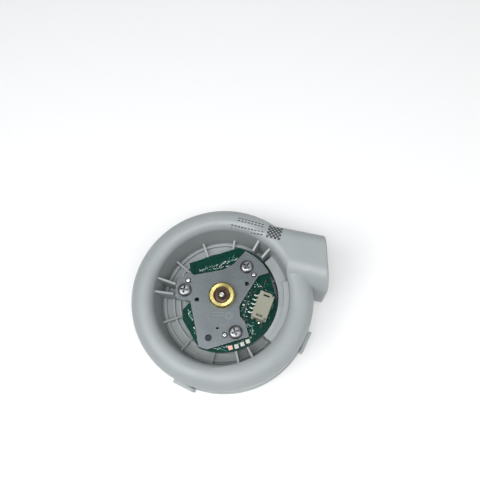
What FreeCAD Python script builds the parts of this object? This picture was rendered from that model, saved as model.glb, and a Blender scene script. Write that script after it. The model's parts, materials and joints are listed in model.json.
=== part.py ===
"""Centrifugal suction blower for a robot vacuum, as an assembly of separate pieces.

Row frame, millimetres: the rotor axis is +Z and the origin is at the centre of the inlet collar's
lower face. The motor side faces up. The outlet duct leaves towards +X.
"""
import FreeCAD, Part

import math
import os

import Sketcher

Vector = FreeCAD.Vector
Z_AXIS = Vector(0, 0, 1)
ROOT = 0.5  # how far a rib or a boss is sunk into the wall it grows from
RIB_PAIR = 6.0  # degrees from a screw to each of its two tall ribs
LEFT_SCREW = 120.0  # degrees from the first screw to the one on the left

doc = FreeCAD.newDocument("blower")
sheet = doc.addObject("Spreadsheet::Sheet", "Dims")

# Driving dimensions: name, value, note. Lengths in mm, angles in degrees.
DIMENSIONS = [
    # scroll casing
    ("casing_radius", 40.5, "outside of both shells"),
    ("casing_wall", 1.8, "moulded wall"),
    ("casing_base", 3.0, "underside of the inlet shell"),
    ("casing_top", 38.5, "crest of the scroll"),
    ("parting_height", 15.0, "where the shells meet"),
    ("shoulder_radius", 6.3, "outer rounding of the crest"),
    ("base_radius", 4.0, "outer rounding at the base"),
    ("rim_radius", 4.0, "inner rounding of the crest"),
    ("recess_top_radius", 30.0, "motor recess at its rim"),
    ("recess_floor_radius", 28.9, "motor recess at its floor"),
    ("recess_floor", 20.5, "top of the recess floor"),
    ("well_radius", 15.2, "opening the rotor hangs through"),
    ("dip_angle", 5.0, "how steeply the crest dips towards the tongue"),
    ("dip_heading", -15.0, "direction of the lowest point of the crest"),
    # outlet duct
    ("duct_angle", -15.0, "duct direction from +X"),
    ("duct_inner_side", 12.6, "offset of the tongue-side wall"),
    ("duct_outer_side", 38.2, "offset of the outer wall"),
    ("duct_flare", 1.3, "how far each wall closes in at the scroll end"),
    ("duct_base", 5.5, "underside of the duct"),
    ("duct_length", 52.0, "from the rotor axis, before the mouth is cut"),
    ("duct_corner", 6.0, "outside corner radius"),
    ("duct_tongue_corner", 9.5, "outside corner radius over the tongue"),
    ("mouth_rounding", 1.0, "outer edge of the mouth"),
    ("mouth_distance", 47.0, "plane of the outlet mouth"),
    # inlet
    ("inlet_radius", 15.5, "bore of the inlet"),
    ("inlet_lip", 6.0, "inner end of the inlet bore"),
    ("collar_radius", 20.0, "collar the suction duct fits over"),
    ("seal_radius", 23.0, "outside of the face seal"),
    # fixings
    ("screw_circle", 17.2, "radius of the three motor screws"),
    ("screw_angle", 50.0, "first motor screw"),
    ("boss_radius", 3.1, "screw boss"),
    ("boss_top", 30.5, "face the motor plate sits on"),
    ("pilot_radius", 1.25, "pilot hole in a boss"),
    ("pilot_depth", 8.0, "pilot hole in a boss"),
    ("thread_radius", 1.25, "screw shank"),
    ("head_radius", 3.0, "screw head"),
    ("head_height", 1.9, "screw head"),
    ("pin_angle", 34.0, "first locating pin"),
    ("pin_radius", 0.9, "locating pin"),
    # ribs inside the recess
    ("rib_thickness", 0.9, "every rib"),
    ("ring_top", 22.2, "ring ribs"),
    ("rib_top", 22.8, "radial ribs under the board"),
    ("tall_rib_top", 27.6, "where the tall ribs pass under the board"),
    ("rib_step_radius", 25.0, "where the tall ribs step up, outside the board"),
    ("inner_ring_radius", 20.2, "inner ring rib"),
    ("middle_ring_radius", 23.1, "middle ring rib"),
    ("outer_ring_radius", 26.9, "outer ring rib"),
    ("shelf_radius", 25.1, "inner edge of the shelves"),
    ("upper_shelf_radius", 27.6, "inner edge of the step above the shelves"),
    ("shelf_top", 28.4, "lowest of the shelves"),
    # motor plate and board
    ("plate_thickness", 1.0, "stamped steel"),
    ("board_top", 29.4, "component side of the circuit board"),
    ("board_thickness", 1.2, "circuit board"),
    ("board_radius", 24.5, "round part of the board's outline"),
    # bearing system, 3 x 7 x 3 mm bearings
    ("shaft_radius", 1.5, "shaft"),
    ("shaft_top", 34.3, "motor end of the shaft"),
    ("shaft_bottom", 7.4, "impeller end of the shaft"),
    ("bearing_radius", 3.5, "outside of a bearing"),
    ("bearing_width", 3.0, "bearing"),
    ("upper_bearing_base", 29.8, "upper bearing"),
    ("lower_bearing_base", 18.0, "lower bearing"),
    ("ball_circle", 2.5, "radius of the ball centres"),
    ("ball_radius", 0.5, "ball"),
    ("ball_count", 7, "balls in each bearing"),
    ("groove_radius", 0.52, "ball groove"),
    ("holder_radius", 4.5, "tube of the bearing holder"),
    ("holder_flange_radius", 5.9, "flange above the plate"),
    ("holder_top", 34.4, "top of the bearing holder"),
    ("holder_bottom", 17.9, "bottom of the bearing holder"),
    ("holder_bore", 2.7, "bore between the bearing seats"),
    # motor
    ("stator_radius", 10.7, "tips of the teeth"),
    ("stator_base", 19.4, "bottom of the lamination stack"),
    ("stator_height", 5.0, "lamination stack"),
    ("tooth_count", 9, "stator teeth"),
    ("tooth_width", 2.0, "stator tooth"),
    ("cup_radius", 13.6, "outside of the rotor cup"),
    ("cup_wall", 0.9, "rotor cup"),
    ("cup_base", 15.8, "closed end of the rotor cup"),
    ("cup_top", 26.6, "open end of the rotor cup"),
    ("magnet_inner_radius", 11.0, "bore of the magnet ring"),
    # impeller
    ("impeller_radius", 29.0, "tips of the blades"),
    ("impeller_back", 13.8, "blade side of the back plate"),
    ("back_plate", 1.3, "back plate"),
    ("blade_count", 9, "blades"),
    ("blade_thickness", 0.9, "blade"),
    ("eye_radius", 17.0, "eye of the shroud"),
]


class Size:
    """A number together with the spreadsheet expression it comes from."""

    def __init__(self, value, text):
        self.value = float(value)
        self.text = text

    def _join(self, other, sign, value, swap=False):
        first, second = (text_of(other), self.text) if swap else (self.text, text_of(other))
        return Size(value, f"({first} {sign} {second})")

    def __add__(self, other):
        return self._join(other, "+", self.value + number(other))

    def __radd__(self, other):
        return self._join(other, "+", number(other) + self.value, swap=True)

    def __sub__(self, other):
        return self._join(other, "-", self.value - number(other))

    def __rsub__(self, other):
        return self._join(other, "-", number(other) - self.value, swap=True)

    def __mul__(self, other):
        return self._join(other, "*", self.value * number(other))

    def __rmul__(self, other):
        return self._join(other, "*", number(other) * self.value, swap=True)

    def __truediv__(self, other):
        return self._join(other, "/", self.value / number(other))

    def __neg__(self):
        return Size(-self.value, f"(0 - {self.text})")


def number(size):
    return size.value if isinstance(size, Size) else float(size)


def text_of(size):
    return size.text if isinstance(size, Size) else f"({float(size)!r})"


class Dimensions:
    """Attribute access to the sheet: D.casing_radius is a Size."""


D = Dimensions()
for row, (alias, value, note) in enumerate(DIMENSIONS, start=1):
    sheet.set(f"A{row}", alias)
    sheet.set(f"B{row}", str(value))
    sheet.set(f"C{row}", note)
    sheet.setAlias(f"B{row}", alias)
    setattr(D, alias, Size(value, f"Dims.{alias}"))
doc.recompute()

nodes = {}


# ---------------------------------------------------------------- helpers


def bind(target, path, size):
    """Binds a property to the sheet, or sets nothing more than the number if it is a plain one."""
    if isinstance(size, Size):
        target.setExpression(path, size.text)


def part_body(label):
    body = doc.addObject("PartDesign::Body", label)
    body.Label = label
    return body


def origin_feature(body, role):
    return next(f for f in body.Origin.OriginFeatures if f.Role == role)


def new_sketch(body, plane, shift=0.0, lift=0.0):
    """A sketch on one of the body's own planes, moved by shift along its x and by lift along its normal."""
    sketch = body.newObject("Sketcher::SketchObject", body.Label + "_sketch")
    sketch.AttachmentSupport = [(origin_feature(body, plane), "")]
    sketch.MapMode = "FlatFace"
    sketch.AttachmentOffset = FreeCAD.Placement(
        Vector(number(shift), 0, number(lift)), FreeCAD.Rotation()
    )
    bind(sketch, "AttachmentOffset.Base.x", shift)
    bind(sketch, "AttachmentOffset.Base.z", lift)
    return sketch


def pin_point(sketch, geometry, end, x, y):
    """Fixes a sketch point at (x, y) from the sketch's origin."""
    for axis, size in (("DistanceX", x), ("DistanceY", y)):
        value = number(size)
        if abs(value) < 1e-9:
            line = -2 if axis == "DistanceX" else -1
            sketch.addConstraint(Sketcher.Constraint("PointOnObject", geometry, end, line))
            continue
        if value > 0:
            constraint = Sketcher.Constraint(axis, -1, 1, geometry, end, value)
        else:
            constraint = Sketcher.Constraint(axis, geometry, end, -1, 1, -value)
        index = sketch.addConstraint(constraint)
        if isinstance(size, Size):
            bind(sketch, f"Constraints[{index}]", size if value > 0 else -size)


def outline(sketch, points):
    """A closed outline. A point is (x, y), or (x, y, radius, turn) for an arc that ends there.

    turn is 1 for an arc that runs anticlockwise from the point before, and -1 for a clockwise one.
    """
    count = len(points)
    ends = []
    for i in range(count):
        here, target = points[i], points[(i + 1) % count]
        a = Vector(number(here[0]), number(here[1]), 0)
        b = Vector(number(target[0]), number(target[1]), 0)
        if len(target) == 2:
            index = sketch.addGeometry(Part.LineSegment(a, b))
            ends.append((index, 1, 2))
            continue
        radius, turn = number(target[2]), target[3]
        half = (b - a) * 0.5
        rise = math.sqrt(max(radius**2 - half.Length**2, 0.0))
        centre = a + half + Vector(-half.y, half.x, 0).normalize() * (rise * turn)
        first, last = (a, b) if turn > 0 else (b, a)
        start = math.atan2(first.y - centre.y, first.x - centre.x)
        stop = math.atan2(last.y - centre.y, last.x - centre.x)
        circle = Part.Circle(centre, Z_AXIS, radius)
        index = sketch.addGeometry(Part.ArcOfCircle(circle, start, stop))
        ends.append((index, 1, 2) if turn > 0 else (index, 2, 1))
        fixed = sketch.addConstraint(Sketcher.Constraint("Radius", index, radius))
        bind(sketch, f"Constraints[{fixed}]", target[2])
    for i in range(count):
        index, start_end, stop_end = ends[i]
        following = ends[(i + 1) % count]
        sketch.addConstraint(
            Sketcher.Constraint("Coincident", index, stop_end, following[0], following[1])
        )
        pin_point(sketch, index, start_end, points[i][0], points[i][1])


def circle(sketch, x, y, radius):
    middle = Vector(number(x), number(y), 0)
    index = sketch.addGeometry(Part.Circle(middle, Z_AXIS, number(radius)))
    pin_point(sketch, index, 3, x, y)
    fixed = sketch.addConstraint(Sketcher.Constraint("Radius", index, number(radius)))
    bind(sketch, f"Constraints[{fixed}]", radius)


def revolve(body, points, shift=0.0, cut=False):
    """Turns an outline of (radius, height) points about the body's Z axis, or one shifted along X."""
    sketch = new_sketch(body, "XZ_Plane", shift=shift)
    outline(sketch, points)
    kind = "PartDesign::Groove" if cut else "PartDesign::Revolution"
    feature = body.newObject(kind, body.Label + "_turned")
    feature.Profile = (sketch, [""])
    feature.ReferenceAxis = (sketch, ["V_Axis"])
    feature.Angle = 360
    body.Tip = feature
    return feature


def extrude(body, draw, base, height, cut=False):
    """Pads, or pockets, what draw(sketch) draws, upwards from the height base."""
    sketch = new_sketch(body, "XY_Plane", lift=base)
    draw(sketch)
    kind = "PartDesign::Pocket" if cut else "PartDesign::Pad"
    feature = body.newObject(kind, body.Label + "_extruded")
    feature.Profile = (sketch, [""])
    feature.Length = number(height)
    bind(feature, "Length", height)
    if cut:
        feature.Reversed = True
    body.Tip = feature
    return feature


def polar(body, feature, count):
    """Repeats a feature evenly about the body's Z axis."""
    pattern = body.newObject("PartDesign::PolarPattern", body.Label + "_pattern")
    pattern.Originals = [feature]
    pattern.Axis = (origin_feature(body, "Z_Axis"), [""])
    pattern.Angle = 360
    pattern.Occurrences = int(number(count))
    bind(pattern, "Occurrences", count)
    body.Tip = pattern
    return pattern


def turn(target, angle):
    """Turns a piece about the Z axis."""
    target.Placement = FreeCAD.Placement(
        Vector(), FreeCAD.Rotation(Z_AXIS, number(angle))
    )
    bind(target, "Placement.Rotation.Angle", angle)
    return target


def place(target, x, y, z, angle=0.0):
    """Puts a piece at (x, y, z), turned about its own Z axis."""
    target.Placement = FreeCAD.Placement(
        Vector(number(x), number(y), number(z)), FreeCAD.Rotation(Z_AXIS, number(angle))
    )
    for axis, size in (("x", x), ("y", y), ("z", z)):
        bind(target, f"Placement.Base.{axis}", size)
    return target


def box(name, length, width, height):
    solid = doc.addObject("Part::Box", name)
    for key, size in (("Length", length), ("Width", width), ("Height", height)):
        setattr(solid, key, number(size))
        bind(solid, key, size)
    return solid


def cylinder(name, radius, height):
    solid = doc.addObject("Part::Cylinder", name)
    for key, size in (("Radius", radius), ("Height", height)):
        setattr(solid, key, number(size))
        bind(solid, key, size)
    return solid


def fuse(name, shapes):
    joined = doc.addObject("Part::MultiFuse", name)
    joined.Shapes = shapes
    joined.Refine = True
    return joined


def cut(name, base, tool):
    result = doc.addObject("Part::Cut", name)
    result.Base = base
    result.Tool = tool
    result.Refine = True
    return result


def common(name, first, second):
    result = doc.addObject("Part::MultiCommon", name)
    result.Shapes = [first, second]
    return result


def group(name, pieces):
    """Several separate solids kept together as one object."""
    held = doc.addObject("Part::Compound", name)
    held.Links = pieces
    return held


def keep(name, target):
    target.Label = name
    nodes[name] = target
    return target


# ---------------------------------------------------------------- casing


def along_recess_wall(height):
    """Radius of the sloping recess wall at a height."""
    rise = D.casing_top - D.rim_radius - D.recess_floor
    slope = (D.recess_top_radius - D.recess_floor_radius) / rise
    return D.recess_floor_radius + slope * (height - D.recess_floor)


def casing_outside():
    """The scroll as a filled form, with the motor recess sunk into its top."""
    body = part_body("casing_outside")
    r, top = D.casing_radius, D.casing_top
    revolve(
        body,
        [
            (0, D.casing_base),
            (r - D.base_radius, D.casing_base),
            (r, D.casing_base + D.base_radius, D.base_radius, 1),
            (r, top - D.shoulder_radius),
            (r - D.shoulder_radius, top, D.shoulder_radius, 1),
            (D.recess_top_radius + D.rim_radius, top),
            (D.recess_top_radius, top - D.rim_radius, D.rim_radius, 1),
            (D.recess_floor_radius, D.recess_floor),
            (0, D.recess_floor),
        ],
    )
    return body


def casing_inside():
    """The air space of the scroll: the impeller chamber and the ring channel around the recess."""
    body = part_body("casing_inside")
    wall, top = D.casing_wall, D.casing_top
    r = D.casing_radius - wall
    ceiling = D.recess_floor - wall
    inner_round, outer_round = D.rim_radius - wall, D.shoulder_radius - wall
    revolve(
        body,
        [
            (0, D.casing_base + wall),
            (r - D.base_radius + wall, D.casing_base + wall),
            (r, D.casing_base + D.base_radius, D.base_radius - wall, 1),
            (r, top - D.shoulder_radius),
            (r - outer_round, top - wall, outer_round, 1),
            (D.recess_top_radius + D.rim_radius, top - wall),
            (D.recess_top_radius + wall, top - D.rim_radius, inner_round, 1),
            (along_recess_wall(ceiling) + wall, ceiling),
            (0, ceiling),
        ],
    )
    return body


def recess_core(name, offset):
    """Everything inside the recess wall, moved outwards by offset, from the floor up."""
    body = part_body(name)
    above = D.casing_top + 2.0
    low = D.recess_floor if not offset else D.casing_base
    wall_top = D.casing_top - D.rim_radius
    points = [
        (0, low),
        (along_recess_wall(low) + offset, low),
        (D.recess_top_radius + offset, wall_top),
    ]
    if not offset:
        points.append((D.recess_top_radius + D.rim_radius, D.casing_top, D.rim_radius, -1))
    points.append((D.recess_top_radius + D.rim_radius, above))
    points.append((0, above))
    revolve(body, points)
    return body


def duct_form(name, inset):
    """A tapered block with rounded long edges, drawn inwards by inset from the duct's outside."""
    blank = doc.addObject("Part::Wedge", name + "_blank")
    low, high = D.duct_inner_side + inset, D.duct_outer_side - inset
    sizes = {
        "Xmin": low + D.duct_flare,
        "Xmax": high - D.duct_flare,
        "X2min": low,
        "X2max": high,
        "Ymin": 0,
        "Ymax": D.duct_length,
        "Zmin": D.duct_base + inset,
        "Zmax": D.casing_top - inset,
        "Z2min": D.duct_base + inset,
        "Z2max": D.casing_top - inset,
    }
    for key, size in sizes.items():
        setattr(blank, key, number(size))
        bind(blank, key, size)
    doc.recompute()
    centre_x, centre_z = number((low + high) / 2), number((D.duct_base + D.casing_top) / 2)
    long_edges = []
    for i, edge in enumerate(blank.Shape.Edges, start=1):
        first, last = edge.Vertexes[0].Point, edge.Vertexes[-1].Point
        if abs(first.y - last.y) < number(D.duct_length) / 2:
            continue
        # The blank is turned over below, so the tongue-side edge of its underside ends up on top.
        over_tongue = first.x < centre_x and first.z < centre_z
        rounding = number(D.duct_tongue_corner if over_tongue else D.duct_corner) - number(inset)
        long_edges.append((i, rounding, rounding))
    rounded = doc.addObject("Part::Fillet", name)
    rounded.Base = blank
    rounded.Edges = long_edges
    # The wedge widens along its own Y, so a half turn about a diagonal lays that end along X.
    place(blank, 0, 0, D.duct_base + D.casing_top)
    blank.Placement.Rotation = FreeCAD.Rotation(Vector(1, 1, 0), 180)
    return turn(rounded, D.duct_angle)


def tongue_dip(name, inset):
    """What is cut from the crest so that it dips towards the tongue: the space over a tilted crest."""
    body = part_body(name)
    rim, shoulder = 5.5, 6.5
    rim_centre, shoulder_centre = D.recess_top_radius + D.rim_radius, D.casing_radius + 0.6 - shoulder
    rim_radius, shoulder_radius = rim - number(inset), shoulder - number(inset)
    below, above, beyond = 8.0, 12.0, 6.0
    revolve(
        body,
        [
            (D.well_radius, -rim),
            (rim_centre - rim_radius, -rim),
            (rim_centre, rim_radius - rim, rim_radius, -1),
            (shoulder_centre, shoulder_radius - shoulder),
            (shoulder_centre + shoulder_radius, -shoulder, shoulder_radius, -1),
            (shoulder_centre + shoulder_radius, -below),
            (D.casing_radius + beyond, -below),
            (D.casing_radius + beyond, above),
            (D.well_radius, above),
        ],
    )
    heading, shift, lift = math.radians(number(D.dip_heading)), 0.35, 0.3
    # The tilt's axis lies across the heading, and the shift keeps the tilted form clear of the walls.
    body.Placement = FreeCAD.Placement(
        Vector(shift * math.cos(heading), shift * math.sin(heading), number(D.casing_top) + lift),
        FreeCAD.Rotation(Vector(-math.sin(heading), math.cos(heading), 0), number(D.dip_angle)),
    )
    bind(body, "Placement.Rotation.Angle", D.dip_angle)
    bind(body, "Placement.Base.z", D.casing_top + lift)
    return body


def screw_bosses():
    """Three bosses for the motor screws, standing on the recess floor."""
    body = part_body("screw_bosses")
    base = D.recess_floor - ROOT
    boss = extrude(
        body,
        lambda sketch: circle(sketch, D.screw_circle, 0, D.boss_radius),
        base,
        D.boss_top - base,
    )
    polar(body, boss, 3)
    return turn(body, D.screw_angle)


def radial_rib(name, points, angle, copies=3):
    """A thin wall in a radial plane, drawn as (radius, height) points, at an angle from a screw."""
    body = part_body(name)
    sketch = new_sketch(body, "XZ_Plane", lift=-D.rib_thickness / 2)
    outline(sketch, points)
    pad = body.newObject("PartDesign::Pad", name + "_pad")
    pad.Profile = (sketch, [""])
    pad.Length = number(D.rib_thickness)
    bind(pad, "Length", D.rib_thickness)
    body.Tip = pad
    if copies > 1:
        polar(body, pad, copies)
    return turn(body, D.screw_angle + angle)


def tall_rib_outline(inner, step_top, wall_top):
    """Low under the board, then up in a step and on in a slope to the recess wall."""
    low = D.recess_floor - ROOT
    return [
        (inner, low),
        (along_recess_wall(low) + ROOT, low),
        (along_recess_wall(wall_top) + ROOT, wall_top),
        (D.rib_step_radius, step_top),
        (D.rib_step_radius, D.tall_rib_top),
        (inner, D.tall_rib_top),
    ]


def low_rib_outline(inner, rise):
    """A low rib that climbs by rise towards the recess wall."""
    low, wall_top = D.recess_floor - ROOT, D.rib_top + rise
    return [
        (inner, low),
        (along_recess_wall(low) + ROOT, low),
        (along_recess_wall(wall_top) + ROOT, wall_top),
        (inner, D.rib_top),
    ]


def ring_rib(name, radius, top):
    body = part_body(name)
    low, outside = D.recess_floor - ROOT, radius + D.rib_thickness
    revolve(body, [(radius, low), (outside, low), (outside, top), (radius, top)])
    return body


def shelf(name, inner, start, stop, top):
    """A shelf along part of the recess wall, between two angles."""
    body = part_body(name)
    low = D.recess_floor - ROOT
    sector = revolve(
        body,
        [
            (inner, low),
            (along_recess_wall(low) + ROOT, low),
            (along_recess_wall(top) + ROOT, top),
            (inner, top),
        ],
    )
    sector.Angle = stop - start
    sector.Midplane = True
    return turn(body, (start + stop) / 2)


SHELF_ANGLES = (-44.0, -10.5, 12.0, 40.0)
SHELF_STEP = 1.0


def recess_ribs():
    """Ring ribs, radial ribs and shelves that stiffen the recess."""
    pieces = [
        ring_rib("inner_ring_rib", D.inner_ring_radius, D.ring_top),
        ring_rib("middle_ring_rib", D.middle_ring_radius, D.ring_top),
        ring_rib("outer_ring_rib", D.outer_ring_radius, D.ring_top),
    ]
    first, second, third, last = SHELF_ANGLES
    ledge, step = D.shelf_radius, SHELF_STEP
    pieces += [
        shelf("high_shelf", ledge, first, second, D.shelf_top + 2 * step),
        shelf("middle_shelf", ledge, second, third, D.shelf_top + step),
        shelf("wide_shelf", ledge, third, last, D.shelf_top),
        shelf("upper_shelf", D.upper_shelf_radius, first, third, D.shelf_top + 3.6 * step),
    ]
    for k, angle in enumerate((30.0, 60.0, 90.0)):
        points = low_rib_outline(D.inner_ring_radius, 1.6)
        pieces.append(radial_rib(f"low_rib_{k}", points, angle))
    tall_start, tall_end = D.boss_top + 1.8, D.casing_top - D.rim_radius
    low = D.recess_floor - ROOT
    for k, angle in enumerate((-RIB_PAIR, RIB_PAIR)):
        points = tall_rib_outline(D.screw_circle + 2.0, tall_start, tall_end)
        pieces.append(radial_rib(f"tall_rib_{k}", points, angle))
        # The board leaves the left screw free, so that pair of ribs reaches further in.
        points = [
            (D.screw_circle + 5.0, low),
            (D.rib_step_radius + 0.1, low),
            (D.rib_step_radius + 0.1, tall_start),
            (D.screw_circle + 5.0, D.boss_top + 0.6),
        ]
        pieces.append(radial_rib(f"long_rib_{k}", points, LEFT_SCREW + angle, copies=1))
    return pieces


CLIP_ANGLES = (75.0, 159.0, 244.0, 333.0)
CLIP_LENGTH = 9.6
CLIP_BELOW_PARTING = 6.0
CLIP_HEIGHT = 11.0
CLIP_GAP = 0.35  # between a clip's arm and the casing
WINDOW_LENGTH = 6.8
WINDOW_ABOVE_PARTING = 1.3


def clip_parts(name, depth, length, height, inner, base):
    """One block at each clip, standing on the casing's outside."""
    blocks = []
    for k, angle in enumerate(CLIP_ANGLES):
        radians = math.radians(angle)
        x = inner * math.cos(radians) + length / 2 * math.sin(radians)
        y = inner * math.sin(radians) - length / 2 * math.cos(radians)
        blocks.append(place(box(f"{name}_{k}", depth, length, height), x, y, base, angle))
    return blocks


def rounded_mouth(casing):
    """Rounds the outer edge of the duct's open end."""
    doc.recompute()
    plane = number(D.mouth_distance)
    ends = [f for f in casing.Shape.Faces if abs(f.BoundBox.XMin - plane) < 1e-4]
    rim = max(ends, key=lambda face: face.Area).OuterWire.Edges
    rounding = number(D.mouth_rounding)
    edges = [
        (i, rounding, rounding)
        for i, edge in enumerate(casing.Shape.Edges, start=1)
        if any(edge.isSame(other) for other in rim)
    ]
    rounded = doc.addObject("Part::Fillet", "casing_rounded")
    rounded.Base = casing
    rounded.Edges = edges
    return rounded


def hollow_casing():
    """The whole scroll with its duct, hollow and open at the mouth."""
    ring = cut("casing_dipped", casing_outside(), tongue_dip("dip_outside", 0.0))
    outside = fuse("casing_and_duct", [ring, duct_form("duct_outside", 0)])
    solid = cut("casing_filled", outside, recess_core("recess_space", 0))
    channel = duct_form("duct_inside", D.casing_wall)
    tongue = recess_core("tongue_core", D.casing_wall)
    ring_space = cut("ring_space", casing_inside(), tongue_dip("dip_inside", D.casing_wall))
    air = fuse("air_space", [ring_space, cut("duct_space", channel, tongue)])
    beyond = place(box("beyond_mouth", 30.0, 120.0, 60.0), D.mouth_distance, -60.0, -5.0)
    return rounded_mouth(cut("casing_trimmed", cut("casing_hollow", solid, air), beyond))


SPAN = 130.0  # wider than the whole casing


def half_space(name, base):
    """A block larger than the casing, standing on the height base."""
    return place(box(name, SPAN, SPAN, SPAN), -SPAN / 2, -SPAN / 2, base)


def motor_side_shell(whole):
    """Upper shell: recess, ribs, bosses and the hooks that the clips snap over."""
    above = half_space("above_parting", D.parting_height)
    # Each hook sits in a clip's window, with 0.3 mm or more to spare all round.
    hooks = clip_parts(
        "hook",
        1.9,
        WINDOW_LENGTH - 0.8,
        2.4,
        D.casing_radius - 0.9,
        D.parting_height + WINDOW_ABOVE_PARTING + 0.3,
    )
    plain = common("motor_side_plain", whole, above)
    ribbed = fuse("motor_side_ribbed", [plain, screw_bosses()] + recess_ribs() + hooks)
    well = place(cylinder("rotor_well", D.well_radius, 20.0), 0, 0, D.recess_floor - 10.0)
    pilots = part_body("pilot_holes")
    pilot = extrude(
        pilots,
        lambda sketch: circle(sketch, D.screw_circle, 0, D.pilot_radius),
        D.boss_top - D.pilot_depth,
        D.pilot_depth + 1.0,
    )
    polar(pilots, pilot, 3)
    turn(pilots, D.screw_angle)
    bored = cut("motor_side_bored", ribbed, well)
    keep("motor_side_shell", cut("motor_side_shell", bored, pilots))


def inlet_nozzle():
    """Collar under the casing and the short nozzle that leads into the impeller."""
    body = part_body("inlet_nozzle")
    throat, lead_in = D.inlet_radius, 1.5
    foot = D.casing_base + 0.6
    revolve(
        body,
        [
            (throat + lead_in, 0, lead_in, 1),
            (D.collar_radius, 0),
            (D.collar_radius, foot),
            (throat + lead_in, foot),
            (throat + lead_in, D.casing_base + D.casing_wall),
            (throat + 0.6, D.inlet_lip),
            (throat, D.inlet_lip),
            (throat, lead_in),
        ],
    )
    return body


def rim_lip():
    """Thin lip round the rim of the lower shell."""
    body = part_body("rim_lip")
    inside, outside, parting = D.casing_radius - 0.4, D.casing_radius + 0.6, D.parting_height
    revolve(
        body,
        [
            (inside, parting - 2.4),
            (D.casing_radius, parting - 2.4),
            (outside, parting - 1.8),
            (outside, parting),
            (inside, parting),
        ],
    )
    return body


def inlet_side_shell(whole):
    """Lower shell: collar, inlet nozzle, rim lip and four spring clips."""
    below = half_space("below_parting", D.parting_height - SPAN)
    r, parting = D.casing_radius, D.parting_height
    foot = parting - CLIP_BELOW_PARTING
    clips = clip_parts("clip", 1.5, CLIP_LENGTH, CLIP_HEIGHT, r + CLIP_GAP, foot)
    feet = clip_parts("clip_foot", 1.6, CLIP_LENGTH, 5.0, r - 0.8, foot)
    windows = clip_parts(
        "clip_window", 3.2, WINDOW_LENGTH, 3.0, r - 0.1, parting + WINDOW_ABOVE_PARTING
    )
    inside = place(cylinder("inside_trim", r - D.casing_wall, 30.0), 0, 0, D.casing_base + 2.5)
    solid_clips = fuse("clips_closed", clips + feet + [rim_lip()])
    open_clips = cut("clips_open", solid_clips, fuse("clip_trims", windows + [inside]))
    plain = common("inlet_side_plain", whole, below)
    joined = fuse("inlet_side_joined", [plain, inlet_nozzle(), open_clips])
    clear = cut("inlet_side_clear", joined, duct_form("duct_clearance", D.casing_wall))
    hole = place(cylinder("inlet_hole", D.inlet_radius, 12.0), 0, 0, -1.0)
    keep("inlet_side_shell", cut("inlet_side_shell", clear, hole))


def inlet_seal():
    """Soft ring around the collar, pressed against the suction duct."""
    body = part_body("inlet_seal")
    inner, outer = D.collar_radius, D.seal_radius
    revolve(
        body,
        [
            (inner, 0.8),
            (outer - 0.8, 0.8),
            (outer, 1.6, 0.8, 1),
            (outer, D.casing_base),
            (inner, D.casing_base),
        ],
    )
    keep("inlet_seal", body)


# ---------------------------------------------------------------- motor plate and fixings

PLATE_TOP = D.boss_top + D.plate_thickness
PLATE_OUTLINE = [
    (-15.0, 11.6),
    (-13.0, 9.9),
    (0.4, 12.2),
    (5.2, 14.9),
    (10.6, 20.8),
    (21.0, 10.4, 23.4, -1),
    (16.3, 9.0),
    (11.7, 2.1),
    (7.5, -4.6),
    (7.8, -9.3),
    (9.8, -11.3),
    (11.7, -18.0),
    (-6.5, -23.2),
    (-10.1, -22.0),
    (-11.7, -13.3),
    (-14.3, -1.9),
    (-19.6, -1.2),
    (-19.6, 8.6, 9.0, -1),
]
# Plain holes: distance from the axis, direction, hole radius.
PLATE_HOLES = [(12.3, 26.0, 1.05), (11.5, 187.0, 1.05), (14.4, 262.0, 0.6), (19.2, 252.2, 1.55)]
SCREW_HOLE = 1.6
PIN_HOLE = 1.35


def on_circle(radius, angle):
    return radius * math.cos(math.radians(angle)), radius * math.sin(math.radians(angle))


def motor_plate():
    """Stamped steel plate with three lobes, one to each screw boss."""
    body = part_body("motor_plate")

    def draw(sketch):
        outline(sketch, PLATE_OUTLINE)
        circle(sketch, 0, 0, D.holder_radius)
        for radius, angle, hole in PLATE_HOLES:
            circle(sketch, *on_circle(radius, angle), hole)
        for k in range(3):
            for start, hole in ((D.screw_angle, SCREW_HOLE), (D.pin_angle, PIN_HOLE)):
                spot = on_circle(number(D.screw_circle), number(start) + 120.0 * k)
                circle(sketch, *spot, hole)

    extrude(body, draw, D.boss_top, D.plate_thickness)
    keep("motor_plate", body)


def motor_screws():
    """Three pan-head cross-recess screws."""
    body = part_body("motor_screws")
    top = PLATE_TOP + D.head_height
    screw = revolve(
        body,
        [
            (0, PLATE_TOP - 7.5),
            (D.thread_radius - 0.5, PLATE_TOP - 7.5),
            (D.thread_radius, PLATE_TOP - 6.8),
            (D.thread_radius, PLATE_TOP),
            (D.head_radius, PLATE_TOP),
            (D.head_radius, PLATE_TOP + 0.9),
            (D.head_radius - 1.4, top, 2.2, 1),
            (0, top),
        ],
        shift=D.screw_circle,
    )
    polar(body, screw, 3)

    def cross(sketch):
        half, arm = 0.4, 1.7
        middle = D.screw_circle
        outline(
            sketch,
            [
                (middle + half, half),
                (middle + half, arm),
                (middle - half, arm),
                (middle - half, half),
                (middle - arm, half),
                (middle - arm, -half),
                (middle - half, -half),
                (middle - half, -arm),
                (middle + half, -arm),
                (middle + half, -half),
                (middle + arm, -half),
                (middle + arm, half),
            ],
        )

    recess = extrude(body, cross, top - 1.3, 3.0, cut=True)
    polar(body, recess, 3)
    turn(body, D.screw_angle)
    keep("motor_screws", body)


def locating_pins():
    """Three plain pins that fix the plate's position on the stator."""
    body = part_body("locating_pins")
    top = PLATE_TOP + 0.6
    r = D.pin_radius
    pin = revolve(
        body,
        [
            (0, D.boss_top - 0.6),
            (r, D.boss_top - 0.6),
            (r, top - 0.3),
            (r - 0.3, top, 0.3, 1),
            (0, top),
        ],
        shift=D.screw_circle,
    )
    polar(body, pin, 3)
    turn(body, D.pin_angle)
    keep("locating_pins", body)


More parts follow.
